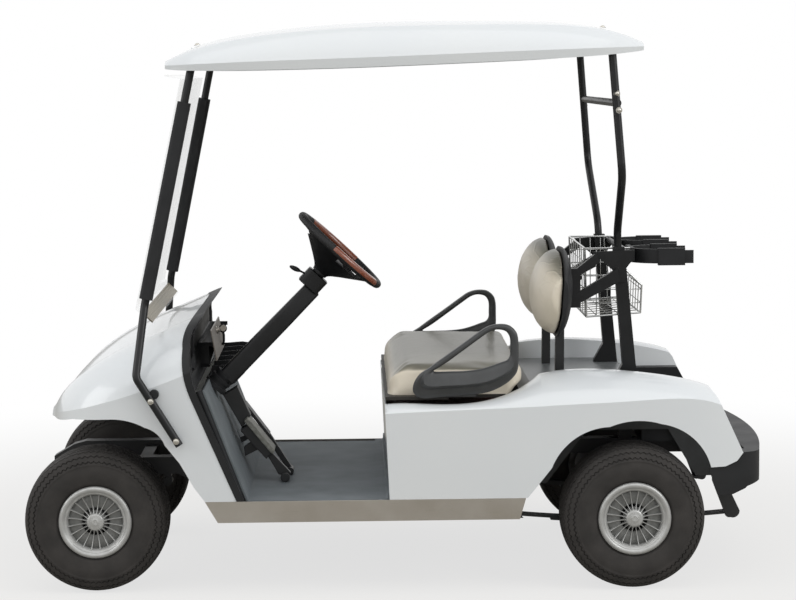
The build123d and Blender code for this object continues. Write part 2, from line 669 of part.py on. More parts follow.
ARM_IN = 512.0
loop = plate(
    540,
    574,
    (-44, 604),
    (-39, 640),
    (-45, 668, -60, 682),
    (-254, 820),
    (-288, 836, -322, 836),
    (-358, 830, -366, 795),
    (-367, 712),
    (-362, 680, -330, 650),
    (-290, 626, -240, 616),
)
loop -= plate(
    500,
    600,
    (-104, 691),
    (-275, 813),
    (-300, 822, -322, 818),
    (-338, 811, -341, 790),
    (-341, 740),
    (-338, 724, -300, 716),
    (-250, 696, -190, 691),
)
loop = fillet([edge for edge in loop.edges() if abs(abs(edge.center().Y - 557) - 17) < 0.01], 6)
shelf = plate(ARM_IN, 545, (-50, 610), (-50, 620), (-235, 620), (-235, 610))
save("hip_restraints", *both(loop + shelf))

# Backrest: two domed padded lobes on black moulded shells, carried by two posts from the deck.
LOBE_Y = 250.0
LOBE_X = -513.0
LOBE_Z = 907.0
LOBE_LEAN = Pos(LOBE_X, LOBE_Y, LOBE_Z) * Rot(0, -4, 0)


def lobe(start, depth, half_y, half_z, corner):
    """One domed lobe on the plane of the backrest: forward for a positive depth, else backward."""
    dome = scale(Sphere(1), by=(abs(depth), half_y + 17, half_z + 4))
    rim = extrude(Plane.YZ * RectangleRounded(2 * half_y, 2 * half_z, corner), depth)
    return LOBE_LEAN * Pos(start, 0, 0) * (dome & rim)


pad = lobe(0.2, 92, 238, 138, 112)
save("backrest_pads", *both(pad))
shell_pad = lobe(0, -44, 242, 142, 114)
bridge = Pos(LOBE_X, 0, LOBE_Z) * Rot(0, -4, 0) * block(-24, -2, -60, 60, -70, 80)
shell_form = shell_pad + [mirror(shell_pad, about=Plane.XZ), bridge]
save("backrest_shell", shell_form)
post = plate(243, 271, (-506, 608.1), (-534, 608.1), (-536, 840), (-508, 840))
post -= shell_form
save("backrest_posts", *both(post.solids().sort_by(Axis.Z)[0]))

# Rear struts: a bent tube from the roof that turns in to a tapered leg on each side, with cross-bars.
LEG_Y = 285.0
upper = tube([(-662, 497, 1698), (-694, 515, 1288), (-704, 290, 1096), (-707, LEG_Y, 1030)], 80, STRUT_RADIUS)
leg = plate(
    LEG_Y - 16,
    LEG_Y + 16,
    (-690, 1052),
    (-726, 1052),
    (-769, 608.1),
    (-688, 608.1),
    (-688, 616),
    (-720, 674),
)
top_bar = rod((-662, -497, 1698), (-662, 497, 1698), 11)
cross_bar = rod((-680, -506, 1513), (-680, 506, 1513), 12)
struts = upper + [leg, cross_bar, top_bar, mirror(upper, about=Plane.XZ), mirror(leg, about=Plane.XZ)]
save("rear_struts", struts)

# Bag rack: side plates on the legs, arms forward to the backrest shell, and bars across.
RACK_Y = LEG_Y + 16.2
gusset = plate(RACK_Y, RACK_Y + 6, (-622, 1037), (-758, 1042), (-752, 1010), (-732, 985), (-728, 940), (-704, 940), (-690, 975))
arm_high = plate(RACK_Y, RACK_Y + 22, (-556, 973), (-556, 946), (-646, 1006), (-634, 1034))
arm_low = plate(RACK_Y, RACK_Y + 22, (-556, 897), (-556, 862), (-712, 944), (-700, 984))
forward = plate(RACK_Y, RACK_Y + 22, (-535, 985), (-540, 860), (-582, 860), (-582, 985))
side_rack = gusset + [arm_high, arm_low, forward]
bars = [rod((-740, -305, 1032), (-740, 305, 1032), 10), rod((-580, -310, 955), (-580, 310, 955), 9)]
rack = (side_rack + [mirror(side_rack, about=Plane.XZ), *bars]) - shell_form
save("bag_rack", rack)

# Bag holders: two moulded cradles behind the rack, open to the rear, with a strap end on each arm.
CRADLE_X = -850.0
CRADLE_Y = 190.0
cradle = Pos(CRADLE_X, CRADLE_Y, 996) * extrude(Circle(100) - Circle(88), 46)
cradle -= block(-1000, CRADLE_X, 0, 500, 900, 1100)
for arm_y in (CRADLE_Y - 94, CRADLE_Y + 94):
    cradle += block(CRADLE_X - 72, CRADLE_X + 14, arm_y - 10, arm_y + 10, 990, 1045)
    cradle += block(CRADLE_X - 100, CRADLE_X - 72, arm_y - 3, arm_y + 3, 996, 1038)
cradle += block(-764, -750.1, CRADLE_Y - 70, CRADLE_Y + 70, 1003, 1045)
save("bag_holders", *both(cradle))

# Wire basket between the legs: a bin of square wires in a rod frame, hooked over the rack's rear bar.
BASKET_HALF = 262.0
BASKET_SIDE = [(-603, 1045.1), (-608, 824), (-782, 836), (-786, 925), (-724, 985), (-724, 1045.1)]
WIRE = 3.0
rods = []
for k, (x, z) in enumerate(BASKET_SIDE):
    nx, nz = BASKET_SIDE[(k + 1) % len(BASKET_SIDE)]
    rods += [rod((x, y, z), (nx, y, nz), WIRE) for y in (-BASKET_HALF, BASKET_HALF)]
rods += [rod((x, -BASKET_HALF, z), (x, BASKET_HALF, z), WIRE) for x, z in BASKET_SIDE[:4]]
rods += [rod((-724, y, 1045.1), (-748, y, 1045.1), WIRE) for y in (-BASKET_HALF, BASKET_HALF)]
for k in range(1, 8):
    y = -BASKET_HALF + 2 * BASKET_HALF * k / 8
    rods.append(plate(y - 1.5, y + 1.5, *BASKET_SIDE[:4], (-783, 925), (-779, 839), (-611, 827), (-606, 1045.1)))
save("basket", rods[0] + rods[1:])

# Roof: one moulded dome with a flat rim, open below.
ROOF_SECTIONS = [
    # x, half-width, rim z, shoulder half-width, shoulder z, crown z, depth of the lip
    (-766, 470, 1685, 410, 1697, 1700, 10),
    (-640, 543, 1681, 473, 1740, 1755, 20),
    (-400, 559, 1674, 488, 1757, 1776, 26),
    (-100, 562, 1664, 491, 1757, 1779, 27),
    (200, 561, 1655, 490, 1748, 1770, 27),
    (450, 556, 1648, 485, 1725, 1746, 24),
    (620, 538, 1642, 467, 1692, 1711, 18),
    (717, 460, 1639, 400, 1650, 1655, 9),
]


def roof_section(x, half, rim_z, shoulder_y, shoulder_z, crown_z, lip):
    """A thin arch: up from the undercut lip, over the shoulders and the crown, and back beneath."""
    via = ((half + shoulder_y) / 2 + 6, (rim_z + shoulder_z) / 2 + 8)
    thin = PANEL
    under = (via[0] - thin, via[1] - thin)
    return outline(
        across(x),
        (-half + 5, rim_z - lip),
        (-half, rim_z + 2),
        (-via[0], via[1], -shoulder_y, shoulder_z),
        (0, crown_z, shoulder_y, shoulder_z),
        (via[0], via[1], half, rim_z + 2),
        (half - 5, rim_z - lip),
        (half - 5 - thin, rim_z - lip),
        (half - thin, rim_z),
        (under[0], under[1], shoulder_y - 1, shoulder_z - thin),
        (0, crown_z - thin, 1 - shoulder_y, shoulder_z - thin),
        (-under[0], under[1], thin - half, rim_z),
        (thin + 5 - half, rim_z - lip),
    )


roof = loft([roof_section(*row) for row in ROOF_SECTIONS])


def roof_end(x, half, rim_z, shoulder_y, shoulder_z, crown_z, lip):
    """The wall that closes one end of the dome, set into the middle of its thickness."""
    via = ((half + shoulder_y) / 2 + 4, (rim_z + shoulder_z) / 2 + 6)
    face = outline(
        across(x - 4 if x > 0 else x + 1),
        (-half + 7, rim_z - lip + 1.5),
        (-half + 2, rim_z + 2),
        (-via[0], via[1], -shoulder_y, shoulder_z - 2),
        (0, crown_z - 2, shoulder_y, shoulder_z - 2),
        (via[0], via[1], half - 2, rim_z + 2),
        (half - 7, rim_z - lip + 1.5),
    )
    return extrude(face, 3)


ends = [roof_end(*ROOF_SECTIONS[0]), roof_end(*ROOF_SECTIONS[-1])]
for y, front_top, rear_top in ((-300, 1697, 1741), (0, 1705, 1747), (300, 1697, 1741)):
    ends.append(rod((630, y, 1667.6), (630, y, front_top), 16))
    ends.append(rod((-662, y, 1709.1), (-662, y, rear_top), 16))
roof = roof + ends

save("roof", roof)

# Front struts: one bent tube on each side, bolted outside the cowl, and a cross-bar under the roof.
STRUT_TOP = Vector(630, 478, 1655)
STRUT_KNEE = Vector(789, 520, 900)
front_strut = tube([STRUT_TOP, STRUT_KNEE, (812, 609.5, 690), (682, 612.5, 478)], 38, STRUT_RADIUS)
front_bar = rod((630, -478, 1655), (630, 478, 1655), STRUT_RADIUS)
for x, z in ((691, 492), (806, 676)):
    front_strut += rod((x, 592.2, z), (x, 612, z), 9)
save("front_struts", front_strut + [mirror(front_strut, about=Plane.XZ), front_bar])

# Windscreen: a clear sheet in front of the struts, with rubber sleeves down both sides.
SCREEN_TOP = (663, 1600)
SCREEN_LOW = (812, 892)
screen = plate(
    -560,
    560,
    (SCREEN_TOP[0] + 52, 1612),
    (SCREEN_TOP[0], SCREEN_TOP[1]),
    SCREEN_LOW,
    (762, 845),
    (765, 843),
    (SCREEN_LOW[0] + 4.5, SCREEN_LOW[1]),
    (SCREEN_TOP[0] + 4.5, SCREEN_TOP[1] - 1),
    (SCREEN_TOP[0] + 53, 1608),
)
screen &= extrude(outline(across(500), (-500, 1650), (500, 1650), (536, 830), (-536, 830)), 400)
screen -= both(block(700, 806, 500, 600, 830, 912))
save("windscreen", screen)
direction = (STRUT_TOP - STRUT_KNEE).normalized()
sleeve_low = STRUT_KNEE + direction * 22
sleeve_frame = Plane(sleeve_low, x_dir=(0, 1, 0), z_dir=direction)
sleeve = extrude(sleeve_frame * (RectangleRounded(41, 41, 12) - Circle(STRUT_RADIUS + 0.02)), 620)
save("windscreen_sleeves", *both(sleeve))
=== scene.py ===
import bmesh
import bpy
import math
from mathutils import Matrix, Vector, noise


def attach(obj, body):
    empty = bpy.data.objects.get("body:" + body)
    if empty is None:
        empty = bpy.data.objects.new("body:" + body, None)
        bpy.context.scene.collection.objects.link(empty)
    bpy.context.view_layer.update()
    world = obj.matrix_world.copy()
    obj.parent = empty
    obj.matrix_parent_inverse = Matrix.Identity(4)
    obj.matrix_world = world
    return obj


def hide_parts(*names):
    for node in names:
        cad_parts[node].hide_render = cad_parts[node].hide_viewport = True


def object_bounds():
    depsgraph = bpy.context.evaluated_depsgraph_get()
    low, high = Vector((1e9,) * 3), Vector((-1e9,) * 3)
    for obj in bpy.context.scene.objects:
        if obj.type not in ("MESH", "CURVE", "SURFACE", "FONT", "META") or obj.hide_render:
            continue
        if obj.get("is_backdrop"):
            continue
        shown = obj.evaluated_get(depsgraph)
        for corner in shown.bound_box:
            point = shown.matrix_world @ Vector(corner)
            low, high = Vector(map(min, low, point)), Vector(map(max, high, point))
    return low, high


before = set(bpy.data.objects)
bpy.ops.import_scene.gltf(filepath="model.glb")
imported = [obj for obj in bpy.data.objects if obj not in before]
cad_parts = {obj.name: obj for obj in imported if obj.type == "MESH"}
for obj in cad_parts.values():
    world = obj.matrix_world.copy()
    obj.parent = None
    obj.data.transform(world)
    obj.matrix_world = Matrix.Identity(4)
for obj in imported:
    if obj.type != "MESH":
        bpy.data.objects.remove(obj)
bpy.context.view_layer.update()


# Studio: a plain pale floor under an even white surround, with one broad soft lamp above the left side and
# weaker ones to the left, ahead and behind. What the lens sees beyond the floor is white.
def linear(code):
    """The linear colour of an sRGB hex one."""
    values = [int(code[k : k + 2], 16) / 255 for k in (1, 3, 5)]
    return [*(v / 12.92 if v <= 0.04045 else ((v + 0.055) / 1.055) ** 2.4 for v in values), 1.0]


def add(tree, kind, inputs=(), **settings):
    """Adds a node with its settings, and its inputs as values or as links."""
    made = tree.nodes.new("ShaderNode" + kind)
    for key, value in settings.items():
        setattr(made, key, value)
    for key, value in dict(inputs).items():
        if isinstance(value, bpy.types.NodeSocket):
            tree.links.new(value, made.inputs[key])
        else:
            made.inputs[key].default_value = value
    return made


def surface(name, colour, **values):
    """A material named for its substance and how it was made. With it come its tree, its shader and the socket
    that gives a point's place on the piece."""
    material = bpy.data.materials.new(name)
    material.use_nodes = True
    shader = material.node_tree.nodes["Principled BSDF"]
    shader.inputs["Base Color"].default_value = linear(colour)
    for key, value in values.items():
        shader.inputs[key.replace("_", " ").title().replace("Ior", "IOR")].default_value = value
    return material, material.node_tree, shader, add(material.node_tree, "TexCoord").outputs["Object"]


def linked(name, data):
    """A new object in the scene."""
    made = bpy.data.objects.new(name, data)
    bpy.context.scene.collection.objects.link(made)
    return made


def shape(name, points, faces, *materials, smooth=True, sharp=None):
    """A mesh object from its points, in metres, and its faces, with sharp edges from an angle in degrees."""
    mesh = bpy.data.meshes.new(name)
    mesh.from_pydata([tuple(p) for p in points], [], faces)
    for material in materials:
        mesh.materials.append(material)
    for face in mesh.polygons:
        face.use_smooth = smooth
    if sharp:
        mesh.set_sharp_from_angle(angle=math.radians(sharp))
    return linked(name, mesh)


# How strongly the surround lights the cart; a look straight at it, or at its reflection, sees plain white
SURROUND = 0.46
world = bpy.data.worlds.new("even_white_surround")
bpy.context.scene.world = world
world.use_nodes = True
tree = world.node_tree
ray = add(tree, "LightPath")
through = {0: ray.outputs["Is Camera Ray"], 1: ray.outputs["Is Transmission Ray"]}
seen = add(tree, "Math", through, operation="MAXIMUM")
seen = add(tree, "Math", {0: seen.outputs[0], 1: ray.outputs["Is Glossy Ray"]}, operation="MAXIMUM")
level = add(tree, "MapRange", {"Value": seen.outputs[0], "To Min": SURROUND, "To Max": 1.0})
tree.links.new(level.outputs[0], tree.nodes["Background"].inputs["Strength"])
tree.nodes["Background"].inputs["Color"].default_value = (1.0, 1.0, 1.0, 1.0)

# Near the cart the floor is matt paint that takes its shadow, and further off the lens sees it as plain white
paint, tree, shader, spot = surface("painted_studio_floor", "#bab7b0", roughness=0.95, specular_ior_level=0.1)
far = add(tree, "VectorMath", {0: spot}, operation="LENGTH")
# It is mixed with white by 72% within 1.2 m of the middle, and by all of it from 4 m
reach = {"Value": far.outputs["Value"], "From Min": 1.2, "From Max": 4.0, "To Min": 0.72}
fade = add(tree, "MapRange", reach, interpolation_type="SMOOTHSTEP")
ray = add(tree, "LightPath")
through = {0: ray.outputs["Is Camera Ray"], 1: ray.outputs["Is Transmission Ray"]}
seen = add(tree, "Math", through, operation="MAXIMUM")
seen = add(tree, "Math", {0: seen.outputs[0], 1: fade.outputs[0]}, operation="MULTIPLY")
white = add(tree, "Emission", {"Color": (1.0, 1.0, 1.0, 1.0), "Strength": 1.0})
both = add(tree, "MixShader", {0: seen.outputs[0], 1: shader.outputs[0], 2: white.outputs[0]})
tree.links.new(both.outputs[0], tree.nodes["Material Output"].inputs["Surface"])
# Its edges are 400 m off, on the horizon
corners = [(-400, -400, 0), (400, -400, 0), (400, 400, 0), (-400, 400, 0)]
floor = shape("studio_floor", corners, [(0, 1, 2, 3)], paint)
floor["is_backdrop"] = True

LAMPS = [
    # name, place, aimed at, width and height, watts
    ("lamp_above", (0.6, 3.0, 8.6), (0.0, 0.0, 0.6), (10.0, 8.0), 230),
    ("lamp_left", (1.6, 5.2, 2.4), (0.0, 0.0, 0.8), (3.0, 2.0), 14),
    ("lamp_ahead", (5.0, 1.6, 2.6), (0.4, 0.0, 0.8), (3.0, 3.0), 68),
    ("lamp_behind", (-4.6, 2.8, 3.4), (-0.6, 0.0, 0.6), (3.0, 2.5), 110),
]
for name, place, aim, (width, height), watts in LAMPS:
    lamp = linked(name, bpy.data.lights.new(name, "AREA"))
    lamp.data.shape = "RECTANGLE"
    lamp.data.size = width
    lamp.data.size_y = height
    lamp.data.energy = watts
    lamp.location = place
    lamp.rotation_euler = (Vector(aim) - Vector(place)).to_track_quat("-Z", "Y").to_euler()

camera = linked("camera", bpy.data.cameras.new("camera"))
camera.data.sensor_width = 36.0
camera.data.lens = 102.68
camera.data.clip_end = 1000.0
RIGHT = Vector((-0.99975653, 0.02005427, -0.00920346))
UP = Vector((-0.01116137, -0.09981601, 0.99494331))
turn = Matrix((RIGHT, UP, RIGHT.cross(UP))).transposed().to_4x4()
camera.matrix_world = Matrix.Translation((0.138, 7.5251, 1.6153)) @ turn
bpy.context.scene.camera = camera
bpy.context.scene.view_settings.view_transform = "Standard"


# Frame and leaf springs: welded box rails and outriggers, and flat springs hung from them, all sprayed
# black with powder and baked. Road dust dulls it in patches.
def dress(material, *nodes):
    """Gives solid pieces their finish."""
    for name in nodes:
        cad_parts[name].material_slots[0].material = material


powder_coat, tree, shader, spot = surface("black_powder_coated_steel", "#131416", roughness=0.42)
# Patches of dust are about 90 mm across, and the coat's orange peel is 3 mm
dust = add(tree, "TexNoise", {"Vector": spot, "Scale": 1 / 0.090, "Detail": 4.0})
tone = add(tree, "Mix", {0: dust.outputs[0], 6: linear("#0f1011"), 7: linear("#222325")}, data_type="RGBA")
tree.links.new(tone.outputs[2], shader.inputs["Base Color"])
gloss = add(tree, "MapRange", {"Value": dust.outputs[0], "To Min": 0.34, "To Max": 0.56})
tree.links.new(gloss.outputs[0], shader.inputs["Roughness"])
peel = add(tree, "TexNoise", {"Vector": spot, "Scale": 1 / 0.003, "Detail": 1.0})
bump = add(tree, "Bump", {"Height": peel.outputs[0], "Strength": 0.25, "Distance": 0.0003})
tree.links.new(bump.outputs[0], shader.inputs["Normal"])
dress(powder_coat, "frame_rails", "frame_cross_members", "frame_edge_rails", "deck_support", "spring_hangers",
      "front_springs", "rear_springs", "backrest_posts", "seat_hinges")


# Axles, drums, knuckles and linkage: iron castings and forged steel, brushed over with chassis black.
# The sand-cast skin is coarse and dull, and brown shows where the paint is thin.
cast_iron, tree, shader, spot = surface("painted_sand_cast_iron", "#232222", roughness=0.6)
# The skin's grit is 2.5 mm, drawn coarser than real sand so that it shows
grit = add(tree, "TexNoise", {"Vector": spot, "Scale": 1 / 0.0025, "Detail": 2.0})
rust = add(tree, "TexNoise", {"Vector": spot, "Scale": 1 / 0.040, "Detail": 6.0})
thin = add(tree, "MapRange", {"Value": rust.outputs[0], "From Min": 0.52, "From Max": 0.72})
tone = add(tree, "Mix", {0: thin.outputs[0], 6: linear("#1e1e1f"), 7: linear("#3d3029")}, data_type="RGBA")
tree.links.new(tone.outputs[2], shader.inputs["Base Color"])
bump = add(tree, "Bump", {"Height": grit.outputs[0], "Strength": 0.5, "Distance": 0.0006})
tree.links.new(bump.outputs[0], shader.inputs["Normal"])
dress(cast_iron, "front_axle", "rear_axle", "drive_motor", "knuckle_left", "knuckle_right", "tie_rod",
      "drag_link", "steering_gear", "brake_drum_rear_left", "brake_drum_rear_right")


# Battery pack: the traction batteries' cases, injection moulded in polypropylene, dark red-brown and slightly
# glossy. They stand in a tray between the rails, under the seat.
battery_case, tree, shader, spot = surface("moulded_polypropylene", "#3a1d18", roughness=0.5)
# The cases' side ribs are 18 mm apart. At a scale of 1, a wave texture's bands are 0.314 m apart
BAND = 0.314
ribs = add(tree, "TexWave", {"Vector": spot, "Scale": BAND / 0.018}, bands_direction="X")
bump = add(tree, "Bump", {"Height": ribs.outputs[0], "Strength": 0.6, "Distance": 0.002})
tree.links.new(bump.outputs[0], shader.inputs["Normal"])
dress(battery_case, "battery_pack")


# Tyres: low-pressure turf tyres, moulded black rubber with a plain sidewall. Zigzag grooves run round the
# tread, and the outermost cuts through the shoulder, where it makes a saw-tooth line.
def curved(a, b, c, d, t):
    """A share of the way from b to c on the smooth line through four values or points."""
    square, cube = 2 * a - 5 * b + 4 * c - d, 3 * b - a - 3 * c + d
    return 0.5 * (2 * b + (c - a) * t + square * t * t + cube * t**3)


def eased(points, count):
    """Evenly spaced points on a smooth line through a few given ones."""
    ends = [2 * points[0] - points[1], *points, 2 * points[-1] - points[-2]]
    steps = 24
    dense = []
    for k in range(len(points) - 1):
        dense += [curved(*ends[k : k + 4], step / steps) for step in range(steps)]
    dense.append(points[-1])
    lengths = [0.0]
    for k in range(1, len(dense)):
        lengths.append(lengths[-1] + (dense[k] - dense[k - 1]).length)
    line = []
    j = 0
    for k in range(count):
        want = lengths[-1] * k / (count - 1)
        while j < len(dense) - 2 and lengths[j + 1] < want:
            j += 1
        share = (want - lengths[j]) / max(lengths[j + 1] - lengths[j], 1e-9)
        line.append(dense[j].lerp(dense[j + 1], share))
    return line


# The carcass from the middle of the tread to the bead: distance from mid-plane and radius, in mm
CARCASS = [(0, 226), (30, 225.2), (58, 223), (78, 219.8), (90, 214), (96.5, 204), (103, 188), (107.6, 168),
           (107.4, 148), (103, 129), (96, 117), (91, 111), (90, 104)]
# Where columns of points run along it, in mm: place, depth below the surface, swing of the zigzag
TREAD = [(0, 0, 0), (8, 0, 0), (16, 0, 4), (17, 6, 4), (21, 6, 4), (22, 0, 4), (32, 0, 0), (41, 0, 0),
         (47, 0, -4), (48, 6, -4), (52, 6, -4), (53, 0, -4), (62, 0, 0), (70, 0, 0), (76, 0, 3.5),
         (77, 5, 3.5), (80, 5, 3.5), (81, 0, 3.5), (89, 0, 0), (94, 0, 0), (98, 0, -3), (99, 3, -3),
         (102, 3, -3), (103, 0, -3), (110, 0, 0), (116.5, 0, 3.2), (117.5, 3.2, 3.2), (120.5, 3.2, 3.2),
         (121.5, 0, 3.2), (128, 0, 0), (129, 0.8, 0), (136, 1.2, 0), (144, 1.2, 0), (152, 1.2, 0),
         (160, 1.2, 0), (168, 1.0, 0), (175, 0.6, 0), (182, 0, 0), (187, -1.4, 0), (190, -1.4, 0),
         (194, 0.8, 0), (200, 0, 0), (205, 0, 0)]
# The carcass line is cut into short pieces of one length, and the zigzags run round the tyre
ZIGZAGS = 72
PIECES = 419
line = eased([Vector((y, r)) for y, r in CARCASS], PIECES + 1)
length = sum((line[k + 1] - line[k]).length for k in range(PIECES))


def carcass_at(place, depth):
    """The point at a distance along the carcass, sunk below its surface."""
    at = max(0.0, min(place / length, 1.0)) * PIECES
    k = min(int(at), PIECES - 1)
    along = (line[k + 1] - line[k]).normalized()
    return line[k].lerp(line[k + 1], at - k) + Vector((-along[1], along[0])) * -depth


# Each zigzag takes six steps round the tyre: three out and three back
columns = [(-1, *column) for column in reversed(TREAD[1:])] + [(1, *column) for column in TREAD]
turns = ZIGZAGS * 6
points = []
for turn in range(turns):
    angle = math.tau * turn / turns
    phase = turn % 6
    swing = (phase if phase <= 3 else 6 - phase) / 1.5 - 1
    for sign, place, depth, width in columns:
        y, r = carcass_at(place + width * swing * sign, depth)
        points.append((math.cos(angle) * r / 1000, sign * y / 1000, math.sin(angle) * r / 1000))
across = len(columns)
faces = []
for turn in range(turns):
    after = (turn + 1) % turns
    for k in range(across - 1):
        faces.append((turn * across + k, turn * across + k + 1, after * across + k + 1, after * across + k))

tyre_rubber, tree, shader, spot = surface(
    "moulded_tyre_rubber", "#1d1e20", roughness=0.8, specular_ior_level=0.35)
# Dust lies in patches of 60 mm and mould marks are 2 mm
dust = add(tree, "TexNoise", {"Vector": spot, "Scale": 1 / 0.060, "Detail": 5.0})
tone = add(tree, "Mix", {0: dust.outputs[0], 6: linear("#222120"), 7: linear("#454240")}, data_type="RGBA")
tree.links.new(tone.outputs[2], shader.inputs["Base Color"])
marks = add(tree, "TexNoise", {"Vector": spot, "Scale": 1 / 0.002, "Detail": 2.0})
bump = add(tree, "Bump", {"Height": marks.outputs[0], "Strength": 0.35, "Distance": 0.0005})
tree.links.new(bump.outputs[0], shader.inputs["Normal"])
WHEELS = {
    # place: hub centre in metres, and the side that its cover faces
    "front_left": ((0.955, 0.438, 0.226), 1),
    "front_right": ((0.955, -0.438, 0.226), -1),
    "rear_left": ((-0.725, 0.489, 0.226), 1),
    "rear_right": ((-0.725, -0.489, 0.226), -1),
}
tyre = shape("turf_tyre_front_left", points, faces, tyre_rubber, sharp=38)
for place, (centre, side) in WHEELS.items():
    one = tyre if place == "front_left" else linked("turf_tyre_" + place, tyre.data)
    one.location = centre
    one.rotation_euler = (0, 0, 0 if side > 0 else math.pi)
    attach(one, "wheel_" + place)
    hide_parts("tyre_" + place)


# Wheels: pressed steel rims in silver paint, with a snap-on nylon cover in the same silver. Twenty thin fins
# run from a bare cap out to a rolled ring, over a dish that is open round the cap.
def spin(profile, steps=96, closed=False):
    """Points and faces of a section, given in mm from mid-plane and in radius, turned about the axle."""
    turned = []
    for turn in range(steps):
        angle = math.tau * turn / steps
        turned += [(math.cos(angle) * r / 1000, y / 1000, math.sin(angle) * r / 1000) for y, r in profile]
    across = len(profile)
    quads = []
    for turn in range(steps):
        after = (turn + 1) % steps
        for k in range(across if closed else across - 1):
            j = (k + 1) % across
            quads.append((turn * across + k, turn * across + j, after * across + j, after * across + k))
    return turned, quads


def joined(parts):
    """Several sets of points and faces as one."""
    points, faces = [], []
    for some, more in parts:
        faces += [tuple(k + len(points) for k in face) for face in more]
        points += some
    return points, faces


lacquer = {"roughness": 0.36, "metallic": 0.35, "coat_weight": 0.25}
silver, tree, shader, spot = surface("silver_painted_nylon", "#b2b3b1", **lacquer)
# The paint's flakes are drawn 1.5 mm across; grime is 25 mm
flake = add(tree, "TexNoise", {"Vector": spot, "Scale": 1 / 0.0015, "Detail": 1.0})
grime = add(tree, "TexNoise", {"Vector": spot, "Scale": 1 / 0.025, "Detail": 5.0})
tone = add(tree, "Mix", {0: grime.outputs[0], 6: linear("#9b9b98"), 7: linear("#c6c7c6")}, data_type="RGBA")
tree.links.new(tone.outputs[2], shader.inputs["Base Color"])
gloss = add(tree, "MapRange", {"Value": flake.outputs[0], "To Min": 0.28, "To Max": 0.5})
tree.links.new(gloss.outputs[0], shader.inputs["Roughness"])

# The cover's parts, as distance from the wheel's mid-plane and radius, in mm
RING = [(90, 113), (95, 114), (100, 113), (103.5, 110), (105, 105.5), (104, 101), (100, 97), (97, 95.5),
        (95.5, 93), (95, 90), (92, 87.5), (88, 86), (74, 85), (74, 88), (86, 89.5), (90, 94), (94, 99),
        (96, 104), (92, 109)]
DISH = [(74.5, 86), (77, 80), (78, 70), (78, 58), (77, 48), (75.5, 44), (72, 43), (72, 46), (75, 58),
        (75, 72), (72, 84)]
CAP = [(97, 0.01), (97.4, 9), (96.9, 9.6), (96.5, 10.2), (96.4, 20), (95.4, 24), (93.2, 26.6), (89, 27.6),
       (80, 28.2), (72, 34), (70, 34), (70, 30), (70, 0.01)]
# A fin's edge starts 91.5 mm out from mid-plane at the cap, dips by 9.5 mm and ends 2 mm higher at the ring
FINS = 20
FIN_STEPS = 8
fins = []
for k in range(FINS):
    turn = Matrix.Rotation(math.tau * (k + 0.5) / FINS, 3, "Y")
    points = []
    for step in range(FIN_STEPS + 1):
        share = step / FIN_STEPS
        r = 27.0 + 60.0 * share
        top = 91.5 - 9.5 * math.sin(math.pi * share**0.8) + 2.0 * share
        for y, half in ((top, 0.9), (top - 3, 1.3), (74.0, 1.9)):
            points += [turn @ Vector((r, y, half)) / 1000, turn @ Vector((r, y, -half)) / 1000]
    faces = []
    for step in range(FIN_STEPS):
        a, b = step * 6, step * 6 + 6
        faces += [(a, a + 1, b + 1, b), (a + 1, a + 3, b + 3, b + 1), (a + 3, a + 5, b + 5, b + 3)]
        faces += [(a + 2, a, b, b + 2), (a + 4, a + 2, b + 2, b + 4)]
    fins.append(([tuple(p) for p in points], faces))
shaded_silver_with_grime, tree, shader, spot = surface("silver_painted_nylon_with_painted_shade_and_grime", "#6f706f", roughness=0.5, metallic=0.3)
# The dish is the cover's silver drawn darker as painted shade for its recess behind the fins, and brake dust
# lies on it in streaks of 15 mm
grime = add(tree, "TexNoise", {"Vector": spot, "Scale": 1 / 0.015, "Detail": 5.0})
tone = add(tree, "Mix", {0: grime.outputs[0], 6: linear("#585957"), 7: linear("#8c8d8b")}, data_type="RGBA")
tree.links.new(tone.outputs[2], shader.inputs["Base Color"])
bright, quads = joined([spin(RING, closed=True), spin(CAP, 64), *fins])
points, faces = joined([(bright, quads), spin(DISH, closed=True)])
cover = shape("finned_wheel_cover", points, faces, silver, shaded_silver_with_grime, sharp=40)
# The dish's faces take the darker silver, whose darkness is painted shade
for face in cover.data.polygons[len(quads) :]:
    face.material_index = 1

rim_steel, tree, shader, spot = surface("painted_pressed_steel", "#8f908f", roughness=0.45, metallic=0.2)
grime = add(tree, "TexNoise", {"Vector": spot, "Scale": 1 / 0.030, "Detail": 5.0})
tone = add(tree, "Mix", {0: grime.outputs[0], 6: linear("#4d4d4c"), 7: linear("#8e8f8e")}, data_type="RGBA")
tree.links.new(tone.outputs[2], shader.inputs["Base Color"])
# The sections of the rim, its disc and its hub, given in the same way
RIM = [(97, 114), (98.5, 112), (97, 108), (92, 101.6), (84, 99), (72, 98.4), (62, 88), (0, 86.5), (-60, 88),
       (-72, 98.4), (-92, 100), (-97, 108), (-98.5, 112), (-97, 114), (-93, 112), (-92, 103), (-72, 101.6),
       (-62, 92), (60, 92), (72, 101.6), (92, 103), (93, 112)]
DISC = [(22.5, 90), (22.5, 70), (26, 60), (26, 36), (17.5, 36), (17.5, 90)]
HUB = [(45, 0.01), (45, 22), (42, 24), (42, 37), (-21, 37), (-21, 12.55)]
points, faces = joined([spin(RIM, closed=True), spin(DISC, closed=True), spin(HUB, 48)])
rim = shape("pressed_rim", points, faces, rim_steel, sharp=35)
for place, (centre, side) in WHEELS.items():
    for kind, first in (("finned_wheel_cover", cover), ("pressed_rim", rim)):
        one = linked(kind + "_" + place, first.data)
        one.location = centre
        one.rotation_euler = (0, 0, 0 if side > 0 else math.pi)
        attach(one, "wheel_" + place)
        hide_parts("wheel_" + place)
for first in (cover, rim):
    bpy.data.objects.remove(first)


# Floor: a moulded pan and kick board in black ABS, screwed to the frame, under a ribbed rubber mat that is
# blue-grey and scuffed by shoes.
black_abs, tree, shader, spot = surface(
    "moulded_black_abs", "#1c1d1f", roughness=0.5, specular_ior_level=0.28)
